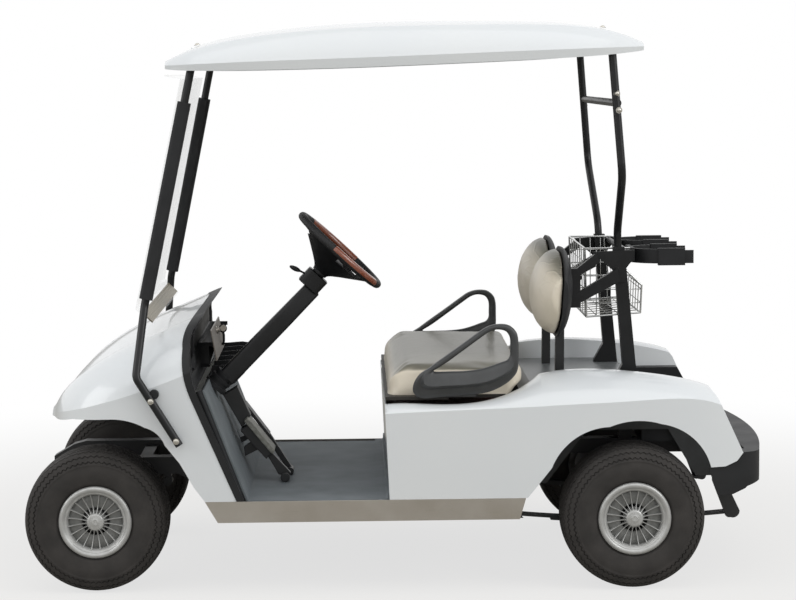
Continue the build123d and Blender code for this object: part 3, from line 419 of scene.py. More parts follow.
# The mould's leather grain is 1.8 mm; the plastic greys with handling in patches of 80 mm
grain = add(tree, "TexVoronoi", {"Vector": spot, "Scale": 1 / 0.0018}, feature="SMOOTH_F1")
worn = add(tree, "TexNoise", {"Vector": spot, "Scale": 1 / 0.080, "Detail": 4.0})
tone = add(tree, "Mix", {0: worn.outputs[0], 6: linear("#151617"), 7: linear("#27282a")}, data_type="RGBA")
tree.links.new(tone.outputs[2], shader.inputs["Base Color"])
gloss = add(tree, "MapRange", {"Value": worn.outputs[0], "To Min": 0.42, "To Max": 0.62})
tree.links.new(gloss.outputs[0], shader.inputs["Roughness"])
bump = add(tree, "Bump", {"Height": grain.outputs[0], "Strength": 0.3, "Distance": 0.0004})
tree.links.new(bump.outputs[0], shader.inputs["Normal"])
dress(black_abs, "floor")

mat_rubber, tree, shader, spot = surface(
    "ribbed_sheet_rubber", "#5f6a74", roughness=0.7, specular_ior_level=0.3)
# Ribs 9 mm apart run from front to back; scuffs are 120 mm and grit is 1.5 mm
ribs = add(tree, "TexWave", {"Vector": spot, "Scale": BAND / 0.009}, bands_direction="Y")
scuff = add(tree, "TexNoise", {"Vector": spot, "Scale": 1 / 0.120, "Detail": 6.0})
grit = add(tree, "TexNoise", {"Vector": spot, "Scale": 1 / 0.0015, "Detail": 2.0})
tone = add(tree, "Mix", {0: scuff.outputs[0], 6: linear("#565d61"), 7: linear("#81878b")}, data_type="RGBA")
tree.links.new(tone.outputs[2], shader.inputs["Base Color"])
low = add(tree, "Bump", {"Height": grit.outputs[0], "Strength": 0.4, "Distance": 0.0003})
ribbed = {"Height": ribs.outputs[0], "Strength": 0.5, "Distance": 0.0012, "Normal": low.outputs[0]}
bump = add(tree, "Bump", ribbed)
tree.links.new(bump.outputs[0], shader.inputs["Normal"])
dress(mat_rubber, "floor_mat")


# Sills: folded stainless sheet over the edge of the floor, brushed lengthways and screwed on. The brushing
# smears what it reflects into a warm, even band.
brushed = {"roughness": 0.3, "metallic": 1.0, "anisotropic": 0.6}
stainless, tree, shader, spot = surface("brushed_stainless_sheet", "#c9c5bf", **brushed)
# Brush lines are 0.8 mm apart and 120 mm long
lay = add(tree, "Mapping", {"Vector": spot, "Scale": (1 / 0.120, 1 / 0.0008, 1 / 0.0008)})
lines = add(tree, "TexNoise", {"Vector": lay.outputs[0], "Scale": 1.0, "Detail": 2.0})
smear = add(tree, "TexNoise", {"Vector": spot, "Scale": 1 / 0.150, "Detail": 4.0})
gloss = add(tree, "MapRange", {"Value": lines.outputs[0], "To Min": 0.22, "To Max": 0.42})
tree.links.new(gloss.outputs[0], shader.inputs["Roughness"])
tone = add(tree, "Mix", {0: smear.outputs[0], 6: linear("#a69e93"), 7: linear("#cfccc7")}, data_type="RGBA")
tree.links.new(tone.outputs[2], shader.inputs["Base Color"])
bump = add(tree, "Bump", {"Height": lines.outputs[0], "Strength": 0.12, "Distance": 0.0002})
tree.links.new(bump.outputs[0], shader.inputs["Normal"])
dress(stainless, "sills")


# Body shells: the cowl, the rear body and the roof are each one moulding in white ABS with a clear acrylic
# skin, bolted to the frame and struts. It is a cool white, glossy, and faintly wavy as large mouldings are.
# The edging, bag well, bumper, liners and deck are black or grey ABS with a moulded grain.
skin = {"roughness": 0.3, "coat_weight": 0.6, "coat_roughness": 0.06}
pearl_white, tree, shader, spot = surface("acrylic_capped_white_abs", "#e4e8eb", **skin)
# The skin's ripple is 60 mm long, and the colour drifts over 400 mm
ripple = add(tree, "TexNoise", {"Vector": spot, "Scale": 1 / 0.060, "Detail": 1.0})
drift = add(tree, "TexNoise", {"Vector": spot, "Scale": 1 / 0.400, "Detail": 3.0})
tone = add(tree, "Mix", {0: drift.outputs[0], 6: linear("#dfe4e8"), 7: linear("#e8ebec")}, data_type="RGBA")
tree.links.new(tone.outputs[2], shader.inputs["Base Color"])
bump = add(tree, "Bump", {"Height": ripple.outputs[0], "Strength": 0.08, "Distance": 0.002})
tree.links.new(bump.outputs[0], shader.inputs["Normal"])
dress(pearl_white, "front_cowl", "rear_body", "roof")
dress(black_abs, "cowl_edging", "bag_well", "rear_bumper")
grey_abs, tree, shader, spot = surface("textured_grey_black_abs", "#353637", roughness=0.45)
# Scuffs are 50 mm and the texture's grain is 2 mm
scuff = add(tree, "TexNoise", {"Vector": spot, "Scale": 1 / 0.050, "Detail": 5.0})
tone = add(tree, "Mix", {0: scuff.outputs[0], 6: linear("#2a2b2c"), 7: linear("#464849")}, data_type="RGBA")
tree.links.new(tone.outputs[2], shader.inputs["Base Color"])
grain = add(tree, "TexVoronoi", {"Vector": spot, "Scale": 1 / 0.002}, feature="SMOOTH_F1")
bump = add(tree, "Bump", {"Height": grain.outputs[0], "Strength": 0.25, "Distance": 0.0004})
tree.links.new(bump.outputs[0], shader.inputs["Normal"])
dress(grey_abs, "rear_liners")
deck_abs, tree, shader, spot = surface("smooth_mid_grey_abs", "#6c6f71", roughness=0.34)
# Dust dulls it in patches of 80 mm
dust = add(tree, "TexNoise", {"Vector": spot, "Scale": 1 / 0.080, "Detail": 5.0})
tone = add(tree, "Mix", {0: dust.outputs[0], 6: linear("#626567"), 7: linear("#7d8082")}, data_type="RGBA")
tree.links.new(tone.outputs[2], shader.inputs["Base Color"])
gloss = add(tree, "MapRange", {"Value": dust.outputs[0], "To Min": 0.26, "To Max": 0.42})
tree.links.new(gloss.outputs[0], shader.inputs["Roughness"])
dress(deck_abs, "rear_deck")


# Struts and rack: bent steel tube and cut plate, welded, blasted and coated satin black. Hands polish the
# coat in patches, so its gloss varies along the tubes.
satin = {"roughness": 0.36, "specular_ior_level": 0.32}
satin_tube, tree, shader, spot = surface("satin_black_coated_tube", "#111214", **satin)
# Orange peel is 2.5 mm and handling marks are 70 mm
peel = add(tree, "TexNoise", {"Vector": spot, "Scale": 1 / 0.0025, "Detail": 1.0})
touch = add(tree, "TexNoise", {"Vector": spot, "Scale": 1 / 0.070, "Detail": 4.0})
tone = add(tree, "Mix", {0: touch.outputs[0], 6: linear("#0d0e0f"), 7: linear("#1b1c1e")}, data_type="RGBA")
tree.links.new(tone.outputs[2], shader.inputs["Base Color"])
gloss = add(tree, "MapRange", {"Value": touch.outputs[0], "To Min": 0.28, "To Max": 0.46})
tree.links.new(gloss.outputs[0], shader.inputs["Roughness"])
bump = add(tree, "Bump", {"Height": peel.outputs[0], "Strength": 0.2, "Distance": 0.0003})
tree.links.new(bump.outputs[0], shader.inputs["Normal"])
dress(satin_tube, "front_struts", "rear_struts", "bag_rack")


# Windscreen: cast acrylic sheet, folded back hot at both ends and held in the struts' sleeves. It is clear,
# and slightly hazed by wiping.
acrylic, tree, shader, spot = surface("cast_acrylic_sheet", "#eef2f3", roughness=0.05, ior=1.49, alpha=0.14)
# Wiping haze is 50 mm
haze = add(tree, "TexNoise", {"Vector": spot, "Scale": 1 / 0.050, "Detail": 5.0})
gloss = add(tree, "MapRange", {"Value": haze.outputs[0], "To Min": 0.0, "To Max": 0.09})
tree.links.new(gloss.outputs[0], shader.inputs["Roughness"])
dress(acrylic, "windscreen")


# Sleeves and boot: the sleeves are extruded and pushed over the struts, and the boot is moulded and stretched
# round the column's foot. Both are EPDM rubber, matt black with a grey bloom.
epdm, tree, shader, spot = surface("extruded_epdm_rubber", "#17181a", roughness=0.72, specular_ior_level=0.35)
# Talc bloom lies in patches of 45 mm
bloom = add(tree, "TexNoise", {"Vector": spot, "Scale": 1 / 0.045, "Detail": 5.0})
tone = add(tree, "Mix", {0: bloom.outputs[0], 6: linear("#121315"), 7: linear("#2a2b2d")}, data_type="RGBA")
tree.links.new(tone.outputs[2], shader.inputs["Base Color"])
dress(epdm, "windscreen_sleeves", "column_boot")


# Backrest shell, bag holders and accelerator: the first two are moulded black ABS, bolted to the posts and
# the rack. The pedal is bent steel, powder-coated, hinged at its foot.
dress(black_abs, "backrest_shell", "bag_holders")
dress(powder_coat, "accelerator_pedal")


# Seat board: birch plywood, sawn, rounded and painted black, on two hinges at its front. The grain shows
# through the paint as fine lines.
ply, tree, shader, spot = surface("painted_birch_plywood", "#1d1a17", roughness=0.6)
# The face grain is 4 mm wide and 150 mm long
lay = add(tree, "Mapping", {"Vector": spot, "Scale": (1 / 0.004, 1 / 0.150, 1 / 0.004)})
lines = add(tree, "TexNoise", {"Vector": lay.outputs[0], "Scale": 1.0, "Detail": 4.0})
tone = add(tree, "Mix", {0: lines.outputs[0], 6: linear("#14120f"), 7: linear("#2b2620")}, data_type="RGBA")
tree.links.new(tone.outputs[2], shader.inputs["Base Color"])
dress(ply, "seat_board")


# Basket: hoops of steel wire, bent, welded and zinc-plated bright, hung from the rack. The plating shines
# and clouds in spots.
bright_wire, tree, shader, spot = surface("bright_zinc_plated_wire", "#c8c9c8", roughness=0.22, metallic=1.0)
tarnish = add(tree, "TexNoise", {"Vector": spot, "Scale": 1 / 0.020, "Detail": 3.0})
gloss = add(tree, "MapRange", {"Value": tarnish.outputs[0], "To Min": 0.14, "To Max": 0.36})
tree.links.new(gloss.outputs[0], shader.inputs["Roughness"])
dress(bright_wire, "basket")


# Upholstery: moulded urethane foam under beige expanded vinyl, pulled down and stapled behind. The factory's
# clear polythene film is still on it, and shines in long shallow folds.
def plumped(name, node, side, cell, inset, limit, rests, form=None):
    """A cushion swollen by cloth simulation from its solid's shape, held where it rests on something. Lengths
    are in metres: the voxel's size, how much smaller it starts, and how far a point may move."""
    cut = bmesh.new()
    cut.from_mesh(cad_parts[node].data)
    bmesh.ops.remove_doubles(cut, verts=cut.verts, dist=1e-5)
    bmesh.ops.delete(cut, geom=[v for v in cut.verts if v.co.y * side < 0], context="VERTS")
    bmesh.ops.recalc_face_normals(cut, faces=cut.faces)
    cut.normal_update()
    for vertex in cut.verts:
        vertex.co -= vertex.normal * inset
    mesh = bpy.data.meshes.new(name)
    cut.to_mesh(mesh)
    cut.free()
    made = linked(name, mesh)
    remesh = made.modifiers.new("remesh", "REMESH")
    remesh.mode = "VOXEL"
    remesh.voxel_size = cell
    applied(made)
    if form:
        for vertex in made.data.vertices:
            vertex.co = form(vertex.co)
    start = [v.co.copy() for v in made.data.vertices]
    held = made.vertex_groups.new(name="held")
    held.add([v.index for v in made.data.vertices if rests(v.co)], 1.0, "REPLACE")
    cloth = made.modifiers.new("swell", "CLOTH")
    cloth.settings.vertex_group_mass = "held"
    cloth.settings.use_pressure = True
    cloth.settings.uniform_pressure_force = 4
    cloth.settings.effector_weights.gravity = 0
    cloth.point_cache.frame_start = 1
    cloth.point_cache.frame_end = 20
    for step in range(1, 21):
        bpy.context.scene.frame_set(step)
    applied(made)
    bpy.context.scene.frame_set(1)
    for vertex, was in zip(made.data.vertices, start):
        move = vertex.co - was
        if move.length > limit:
            vertex.co = was + move * (limit / move.length)
    smooth = made.modifiers.new("smooth", "CORRECTIVE_SMOOTH")
    smooth.use_only_smooth = True
    smooth.iterations = 4
    made.modifiers.new("finer", "SUBSURF").levels = 1
    applied(made)
    return made


def applied(made):
    """Makes what the object's modifiers give its own mesh, and takes them off."""
    graph = bpy.context.evaluated_depsgraph_get()
    graph.update()
    mesh = bpy.data.meshes.new_from_object(made.evaluated_get(graph))
    made.modifiers.clear()
    made.data = mesh


def gathered(made, depth):
    """Presses the film's folds into a cushion, and gives it its material."""
    mesh = made.data
    normals = [v.normal.copy() for v in mesh.vertices]
    for vertex, normal in zip(mesh.vertices, normals):
        at = vertex.co
        # Folds come every 60 mm or so from front to back and up, and 140 mm across, and creases every 110 mm
        fold = noise.noise(Vector((at.x * 16, at.y * 7, at.z * 20)))
        crease = noise.noise(Vector((at.x * 9 + 40, at.y * 9, at.z * 9)) + Vector((fold, fold, 0)) * 1.5)
        proud = depth * (0.55 * fold + 0.45 * max(0.0, 1 - abs(crease) * 9))
        vertex.co = at + normal * proud
    mesh.materials.clear()
    mesh.materials.append(vinyl)
    for face in mesh.polygons:
        face.use_smooth = True


clear = {"roughness": 0.4, "specular_ior_level": 0.25, "coat_weight": 0.2, "coat_roughness": 0.12}
vinyl, tree, shader, spot = surface("expanded_vinyl_under_clear_film", "#c9bfab", **clear)
# The vinyl's leather grain is 3 mm, and where the film clings its tone drifts in patches of 110 mm
grain = add(tree, "TexVoronoi", {"Vector": spot, "Scale": 1 / 0.003}, feature="SMOOTH_F1")
cling = add(tree, "TexNoise", {"Vector": spot, "Scale": 1 / 0.110, "Detail": 3.0})
tone = add(tree, "Mix", {0: cling.outputs[0], 6: linear("#dad2bf"), 7: linear("#f2e8d7")}, data_type="RGBA")
# On upward faces the colour is mixed towards grey-olive: painted shade from the roof above, and a painted
# reflection of dark surroundings in the film
facing = add(tree, "SeparateXYZ", {0: add(tree, "NewGeometry").outputs["Normal"]})
tilt = {"Value": facing.outputs["Z"], "From Min": 0.45, "From Max": 0.92, "To Max": 0.9}
painted_top_shade_and_reflection = add(tree, "MapRange", tilt, interpolation_type="SMOOTHSTEP")
tone = add(tree, "Mix", {0: painted_top_shade_and_reflection.outputs[0], 6: tone.outputs[2], 7: linear("#5d5d53")}, data_type="RGBA")
tree.links.new(tone.outputs[2], shader.inputs["Base Color"])
# The film's small creases run across the seat, 14 mm apart and 90 mm long
lay = add(tree, "Mapping", {"Vector": spot, "Scale": (1 / 0.014, 1 / 0.090, 1 / 0.040)})
creases = add(tree, "TexNoise", {"Vector": lay.outputs[0], "Scale": 1.0, "Detail": 3.0, "Distortion": 0.8})
low = add(tree, "Bump", {"Height": grain.outputs[0], "Strength": 0.15, "Distance": 0.0003})
tree.links.new(low.outputs[0], shader.inputs["Normal"])
film = add(tree, "Bump", {"Height": creases.outputs[0], "Strength": 0.5, "Distance": 0.003})
tree.links.new(film.outputs[0], shader.inputs["Coat Normal"])


def waterfall(at):
    """Rolls the bench's last 80 mm in front down by 46 mm, and takes its sides 16 mm down over the board."""
    roll = min(max((at.x + 0.036) / 0.080, 0.0), 1.0)
    drop = 0.046 * (1 - math.sqrt(1 - roll * roll)) * min(max((at.z - 0.630) / 0.060, 0.0), 1.0)
    skirt = 0.016 * min(max((0.672 - at.z) / 0.055, 0.0), 1.0)
    return Vector((at.x, at.y, at.z - drop - skirt))


bench = plumped("seat_bench_cushion", "seat_cushion", side=0, cell=0.008, inset=0.006, limit=0.010,
                rests=lambda p: p.z < 0.604, form=waterfall)
gathered(bench, 0.0010)
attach(bench, "seat")
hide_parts("seat_cushion")
for side, name in ((1, "left"), (-1, "right")):
    lobe = plumped("backrest_lobe_" + name, "backrest_pads", side=side, cell=0.006, inset=0.005, limit=0.006,
                   rests=lambda p: p.x < -0.497)
    gathered(lobe, 0.0014)
    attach(lobe, "chassis")
    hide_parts("backrest_pads")


# Hip restraints: blow-moulded black ABS loops screwed through the seat board. The bar is oval, and its lower
# run flares into a skirt with a hard fold, below which it steps in to the board.
HIP_RUN = [
    # x and z of the outer edge, x and z of the inner, in mm, and how much of the skirt shows
    (-41, 624, -107, 691, 0.9), (-42, 655, -104, 693, 0.5), (-60, 683, -104, 694, 0.15),
    (-90, 703, -106, 696, 0), (-130, 732, -141, 717, 0), (-190, 774, -201, 760, 0), (-240, 810, -251, 796, 0),
    (-268, 828, -277, 813.5, 0), (-300, 836.5, -300, 820, 0), (-335, 833.5, -324, 816, 0),
    (-358, 815, -336, 804, 0), (-366, 790, -341, 788, 0), (-367, 750, -341, 758, 0),
    (-366.5, 712, -340, 738, 0.1), (-360, 683, -330, 724, 0.4), (-335, 655, -308, 716, 0.8),
    (-300, 634, -280, 706, 1), (-260, 621, -246, 697, 1), (-200, 614, -200, 692, 1),
    (-130, 609.5, -150, 691, 1), (-70, 606.5, -118, 690.5, 1),
]
# The run is eased in 6 steps from one row to the next, and the bar has 28 points round it
STATIONS = 6
ROUND = 28
ring = []
for k in range(len(HIP_RUN)):
    rows = [HIP_RUN[(k + j - 1) % len(HIP_RUN)] for j in range(4)]
    for step in range(STATIONS):
        ring.append([curved(*column, step / STATIONS) for column in zip(*rows)])
points = []
for ox, oz, ix, iz, skirt in ring:
    for k in range(ROUND):
        turn = math.tau * k / ROUND
        across = 0.5 - 0.5 * math.copysign(abs(math.cos(turn)) ** 0.8, math.cos(turn))
        y = 557 + 17 * math.copysign(abs(math.sin(turn)) ** 0.6, math.sin(turn))
        if math.sin(turn) > 0:
            # Outside, the skirt stands 15 mm proud down to its fold, and below that steps in by 7 mm
            flare = 15 * min(across / 0.56, 1) ** 1.4 if across < 0.58 else -7
            y += min(max(skirt, 0), 1) * flare
        points.append(((ix + (ox - ix) * across) / 1000, y / 1000, (iz + (oz - iz) * across) / 1000))
faces = []
for k in range(len(ring)):
    for j in range(ROUND):
        a, b = k * ROUND, (k + 1) % len(ring) * ROUND
        faces.append((a + j, a + (j + 1) % ROUND, b + (j + 1) % ROUND, b + j))
# The ledge that screws to the board, and the faces of any piece with two ends of four corners
LEDGE = [(512, 610.2), (552, 610.2), (552, 622), (512, 620)]
ledge = [(x / 1000, y / 1000, z / 1000) for x in (-235, -50) for y, z in LEDGE]
SIX_FACES = [(0, 1, 2, 3), (7, 6, 5, 4), (0, 4, 5, 1), (1, 5, 6, 2), (2, 6, 7, 3), (3, 7, 4, 0)]
for side, name in ((1, "left"), (-1, "right")):
    loop = [(x, y * side, z) for x, y, z in points]
    foot = [(x, y * side, z) for x, y, z in ledge]
    both, every = joined([(loop, faces), (foot, SIX_FACES)])
    every = [face if side < 0 else face[::-1] for face in every]
    hip = shape("hip_restraint_" + name, both, every, grey_abs, sharp=42)
    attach(hip, "seat")
    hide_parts("hip_restraints")


# Steering wheel: a black urethane rim with two wood-grained grips, on a deep dished centre that is moulded
# round a steel spider and has three slots under the rim, with a plain cap in the middle.
COLUMN_TOP = Vector((0.184, 0.270, 1.049))
DOWN = (Vector((0.595, 0.270, 0.610)) - COLUMN_TOP).normalized()
ACROSS = Vector((0, 1, 0))
LOW = ACROSS.cross(DOWN)


def on_column(depth, radius, degrees):
    """A point below the rim's plane, out from the column, and round from its left side."""
    angle = math.radians(degrees)
    out = ACROSS * math.cos(angle) * radius + LOW * math.sin(angle) * radius
    return COLUMN_TOP + (DOWN * depth + out) / 1000


def turned(profile, steps, gap=None):
    """Points and faces of a section of depths and radii turned about the column, less what gap names."""
    made = [on_column(depth, radius, 360 * k / steps) for k in range(steps) for depth, radius in profile]
    quads = []
    across = len(profile)
    for k in range(steps):
        after = (k + 1) % steps
        for j in range(across - 1):
            if not (gap and gap(j, 360 * (k + 0.5) / steps)):
                quads.append((k * across + j, after * across + j, after * across + j + 1, k * across + j + 1))
    return made, quads


# The rim's radius, and half its thickness bare and at the grips, in mm; then where the grips run, in degrees
RIM_R, BARE, GRIPPED = 161.0, 13.2, 14.0
GRIPS = ((-8, 62), (153, 232))
SIDES = 24
SPOKES = 180
parts = []
for k in range(SPOKES):
    degrees = k * 360 // SPOKES
    swollen = any(a + 1 < degrees < b - 1 or a + 1 < degrees - 360 < b - 1 for a, b in GRIPS)
    thick = GRIPPED if swollen else BARE
    for j in range(SIDES):
        turn = math.tau * j / SIDES
        parts.append(on_column(-math.sin(turn) * thick * 0.98, RIM_R + math.cos(turn) * thick, degrees))
faces = []
for k in range(SPOKES):
    for j in range(SIDES):
        a, b = k * SIDES, (k + 1) % SPOKES * SIDES
        faces.append((a + j, b + j, b + (j + 1) % SIDES, a + (j + 1) % SIDES))
urethane, tree, shader, spot = surface(
    "moulded_urethane_rim", "#1b1b1c", roughness=0.55, specular_ior_level=0.35)
# The rim's leather grain is 1.6 mm, drawn at 2.2 mm so that it shows
grain = add(tree, "TexVoronoi", {"Vector": spot, "Scale": 1 / 0.0022}, feature="SMOOTH_F1")
bump = add(tree, "Bump", {"Height": grain.outputs[0], "Strength": 0.35, "Distance": 0.0004})
tree.links.new(bump.outputs[0], shader.inputs["Normal"])
lacquer = {"roughness": 0.3, "coat_weight": 0.7, "coat_roughness": 0.08}
walnut, tree, shader, spot = surface("wood_grained_lacquered_moulding", "#7a3b22", **lacquer)
# The printed grain's lines are 3 mm apart and 60 mm long
lay = add(tree, "Mapping", {"Vector": spot, "Scale": (1 / 0.012, 1 / 0.060, 1 / 0.003)})
lines = add(tree, "TexNoise", {"Vector": lay.outputs[0], "Scale": 1.0, "Detail": 4.0, "Distortion": 1.2})
tone = add(tree, "Mix", {0: lines.outputs[0], 6: linear("#4a1d10"), 7: linear("#a2583a")}, data_type="RGBA")
tree.links.new(tone.outputs[2], shader.inputs["Base Color"])
grip = shape("steering_rim_grip", parts, faces, urethane, walnut)
for k, face in enumerate(grip.data.polygons):
    place = k // SIDES * 360 // SPOKES
    round_rim = k % SIDES / SIDES
    wooden = any(a <= place < b or a <= place - 360 < b for a, b in GRIPS) and not 0.55 < round_rim < 0.93
    face.material_index = 1 if wooden else 0
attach(grip, "steering_wheel")
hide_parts("steering_rim")

# The dish's section; its slots take 52 degrees each out of its band of faces from (30, 112) to (17, 132)
DISH = [(96, 25), (90, 28), (82, 36), (66, 58), (46, 88), (30, 112), (17, 132), (6, 150)]
SLOTS = (30, 150, 270)
dish, quads = turned(DISH, 180, lambda j, at: j == 5 and min(abs(at - slot) for slot in SLOTS) < 26)
cut = bmesh.new()
corners = [cut.verts.new(p) for p in dish]
for quad in quads:
    cut.faces.new([corners[k] for k in quad])
bmesh.ops.solidify(cut, geom=cut.faces, thickness=0.004)
cut.verts.index_update()
# Solidify leaves the faces in an order that changes from run to run, so they are sorted
faces = sorted([v.index for v in face.verts] for face in cut.faces)
centre = shape("steering_dish", [v.co.copy() for v in cut.verts], faces, black_abs, sharp=40)
cut.free()
BOSS = [(150, 0.01), (150, 8), (103, 8), (103, 22), (99, 22), (99, 26), (49, 26), (46, 40), (40, 44),
        (33, 43.5), (29.5, 40), (28, 30), (27, 0.01)]
boss = shape("steering_boss", *turned(BOSS, 72), black_abs, sharp=35)
for one in (centre, boss):
    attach(one, "steering_wheel")
    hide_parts("steering_hub")


# Steering column: a jacket of folded steel with rounded corners, a moulded switch housing round its top, and
# a paddle on the housing's far side.
def lofted(sections, exponent=0.3, around=40):
    """Points and faces through rounded sections. Each is a depth down the column, a half-width, and where its
    upper and its lower side lie from the column's axis, in mm, with down positive."""
    made = []
    for depth, half, above, below in sections:
        for k in range(around):
            turn = math.tau * k / around
            c, s = (math.copysign(abs(f(turn)) ** exponent, f(turn)) for f in (math.cos, math.sin))
            low = (above + below) / 2 + (below - above) / 2 * s
            made.append(COLUMN_TOP + (DOWN * depth + ACROSS * half * c + LOW * low) / 1000)
    quads = [tuple(range(around))[::-1], tuple(range(len(made) - around, len(made)))]
    for k in range(len(sections) - 1):
        for j in range(around):
            a, b = k * around, (k + 1) * around
            quads.append((a + j, a + (j + 1) % around, b + (j + 1) % around, b + j))
    return made, quads


JACKET = [(150, 22, -6, 44), (153, 24, -8, 47), (300, 25, -13, 45), (520, 27, -20, 40), (548, 28, -21, 38)]
HOUSING = [(104, 30, -31, 38), (106, 34, -35, 42), (154, 34, -36, 41), (157, 31, -33, 38)]
column = shape("steering_column_jacket", *joined([lofted(JACKET), lofted(HOUSING)]), satin_tube, sharp=40)
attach(column, "chassis")
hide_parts("steering_column")


# Dash: one black ABS moulding inside the cowl. Its tray is a separate scoop, hung from the panel's foot and
# split into five pockets by ribs.
def swept(outline, *places):
    """Points, in metres, of an outline in the X-Z plane repeated at each place along Y, all given in mm."""
    return [(x / 1000, y / 1000, z / 1000) for y in places for x, z in outline]


cut = bmesh.new()
cut.from_mesh(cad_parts["dash"].data)
bmesh.ops.remove_doubles(cut, verts=cut.verts, dist=1e-5)
# The solid's own tray goes: all that lies behind the panel, and below the brow all that lies behind its foot
BROW, FOOT_BACK, PANEL_BACK, LEAST = 0.7348, 0.6118, 0.5868, 0.0001
CUTS = [((0, 0, BROW), (0, 0, 1)), ((FOOT_BACK, 0, 0), (1, 0, 0)), ((PANEL_BACK, 0, 0), (1, 0, 0))]
for place, square in CUTS:
    every = cut.verts[:] + cut.edges[:] + cut.faces[:]
    bmesh.ops.bisect_plane(cut, geom=every, plane_co=place, plane_no=square)
shed = []
for face in cut.faces:
    at = face.calc_center_median()
    if at.x < PANEL_BACK - LEAST or (at.z < BROW - LEAST and at.x < FOOT_BACK - LEAST):
        shed.append(face)
bmesh.ops.delete(cut, geom=shed, context="FACES")
bmesh.ops.holes_fill(cut, edges=[e for e in cut.edges if e.is_boundary])
mesh = bpy.data.meshes.new("dash_panel")
cut.to_mesh(mesh)
cut.free()
panel = linked("dash_panel", mesh)
mesh.materials.clear()
mesh.materials.append(black_abs)
mesh.set_sharp_from_angle(angle=math.radians(40))
# The scoop's outside and the rest of a rib's outline, as x and z in mm; the scoop's wall is 4 mm thick
SCOOP = [(491, 675), (493, 655), (498, 647), (511, 634), (530, 614), (545, 607), (604, 606)]
RIB = [(604, 672), (586, 672), (560, 674), (535, 675.5), (503, 671)]
inside = [(x + 4, z + (4 if k else 0)) for k, (x, z) in enumerate(SCOOP)]
shell = SCOOP + inside[::-1]
walls = [(-430, 205, shell)] + [(y, y + 5, SCOOP + RIB) for y in (-430, -304, -178, -52, 74, 200)]
parts = []
for first, last, ring in walls:
    n = len(ring)
    quads = [tuple(range(n)), tuple(range(n, 2 * n))[::-1]] if ring is not shell else []
    quads += [(k, n + k, n + (k + 1) % n, (k + 1) % n) for k in range(n)]
    parts.append((swept(ring, first, last), quads))
tray = shape("dash_tray", *joined(parts), black_abs, sharp=35)
for one in (panel, tray):
    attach(one, "chassis")
    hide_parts("dash")


# Switch panel: a brushed plate leaning under the dash's brow, with the key switch and key, and the selector's
# ball on its stalk.
switch_plate, tree, shader, spot = surface(
    "brushed_grey_anodised_sheet", "#6f6963", roughness=0.38, metallic=0.6)
# Brush lines are 1 mm apart and 70 mm long
lay = add(tree, "Mapping", {"Vector": spot, "Scale": (1 / 0.001, 1 / 0.070, 1 / 0.001)})
lines = add(tree, "TexNoise", {"Vector": lay.outputs[0], "Scale": 1.0, "Detail": 2.0})
gloss = add(tree, "MapRange", {"Value": lines.outputs[0], "To Min": 0.28, "To Max": 0.52})
tree.links.new(gloss.outputs[0], shader.inputs["Roughness"])
PLATE = [(596.5, 806), (593, 804.5), (576, 709), (579.5, 708)]
plate = shape("switch_panel", swept(PLATE, -46, 370), SIX_FACES, switch_plate, smooth=False)
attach(plate, "chassis")
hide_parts("dash_controls")


def placed(part, at, towards):
    """A piece made about the Y axis, moved to a point in mm and turned to face along a direction."""
    swing = Vector((0, 1, 0)).rotation_difference(Vector(towards).normalized())
    return [tuple(swing @ Vector(p) + Vector(at) / 1000) for p in part[0]], part[1]


def tube(path, radius, around=8):
    """A round wire along a path in mm."""
    path = [Vector(p) for p in path]
    made = []
    for k, here in enumerate(path):
        along = (path[min(k + 1, len(path) - 1)] - path[max(k - 1, 0)]).normalized()
        side = along.orthogonal().normalized()
        if made and abs(side.dot(last)) < 0.9:
            side = (last - along * last.dot(along)).normalized()
        last = side
        up = along.cross(side)
        for j in range(around):
            turn = math.tau * j / around
            made.append((here + (side * math.cos(turn) + up * math.sin(turn)) * radius) / 1000)
    quads = [tuple(range(around))[::-1], tuple(range(len(made) - around, len(made)))]
    for k in range(len(path) - 1):
        for j in range(around):
            a, b = k * around, (k + 1) * around
            quads.append((a + j, a + (j + 1) % around, b + (j + 1) % around, b + j))
    return made, quads


BARREL = [(-6, 0.01), (-6, 14), (2, 14), (5, 12), (7, 9.5), (11, 9.5), (12, 8), (12, 0.01)]
# The key's bow is a disc of 10 mm radius and 2 mm thick, 24 mm out from the lock
BOW = [(math.cos(t) * 10 + 24, math.sin(t) * 10) for t in (math.tau * k / 24 for k in range(24))]
OUT = Vector((-0.97, 0, 0.25))
UPWARD = Vector((0.25, 0, 0.97))
key_at = Vector((592, 150, 782))
bow = []
for y in (-1, 1):
    bow += [tuple((key_at + OUT * a + Vector((0, y, 0)) + UPWARD * b) / 1000) for a, b in BOW]
n = len(BOW)
discs = [tuple(range(n)), tuple(range(n, 2 * n))[::-1]]
edge = [(k, n + k, n + (k + 1) % n, (k + 1) % n) for k in range(n)]
barrel = placed(spin(BARREL, 32), key_at, OUT)
key = shape("ignition_key", *joined([barrel, (bow, discs + edge)]), stainless, sharp=35)
BALL = [(14 - math.cos(t) * 14, max(math.sin(t) * 14, 0.01)) for t in (math.pi * k / 16 for k in range(17))]
stalk = tube([(576, 60, 722), (572, 60, 735), (572, 60, 755), (575, 60, 770)], 4)
ball = placed(spin(BALL, 32), (575, 60, 763), (0, 0.02, 1))
selector = shape("selector_lever", *joined([ball, stalk]), black_abs)
PADDLE = [(-6, 0.01), (-6, 3), (12, 3.2), (20, 6.5), (30, 8), (42, 6.5), (50, 3), (51, 0.01)]
paddle = shape("column_switch_paddle", *placed(spin(PADDLE, 24), (300, 292, 979), (43, 8, 22)), black_abs)
for one, slot in ((key, "sill_steel"), (selector, "black_plastic"), (paddle, "black_plastic")):
    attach(one, "chassis")
    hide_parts("dash_controls")


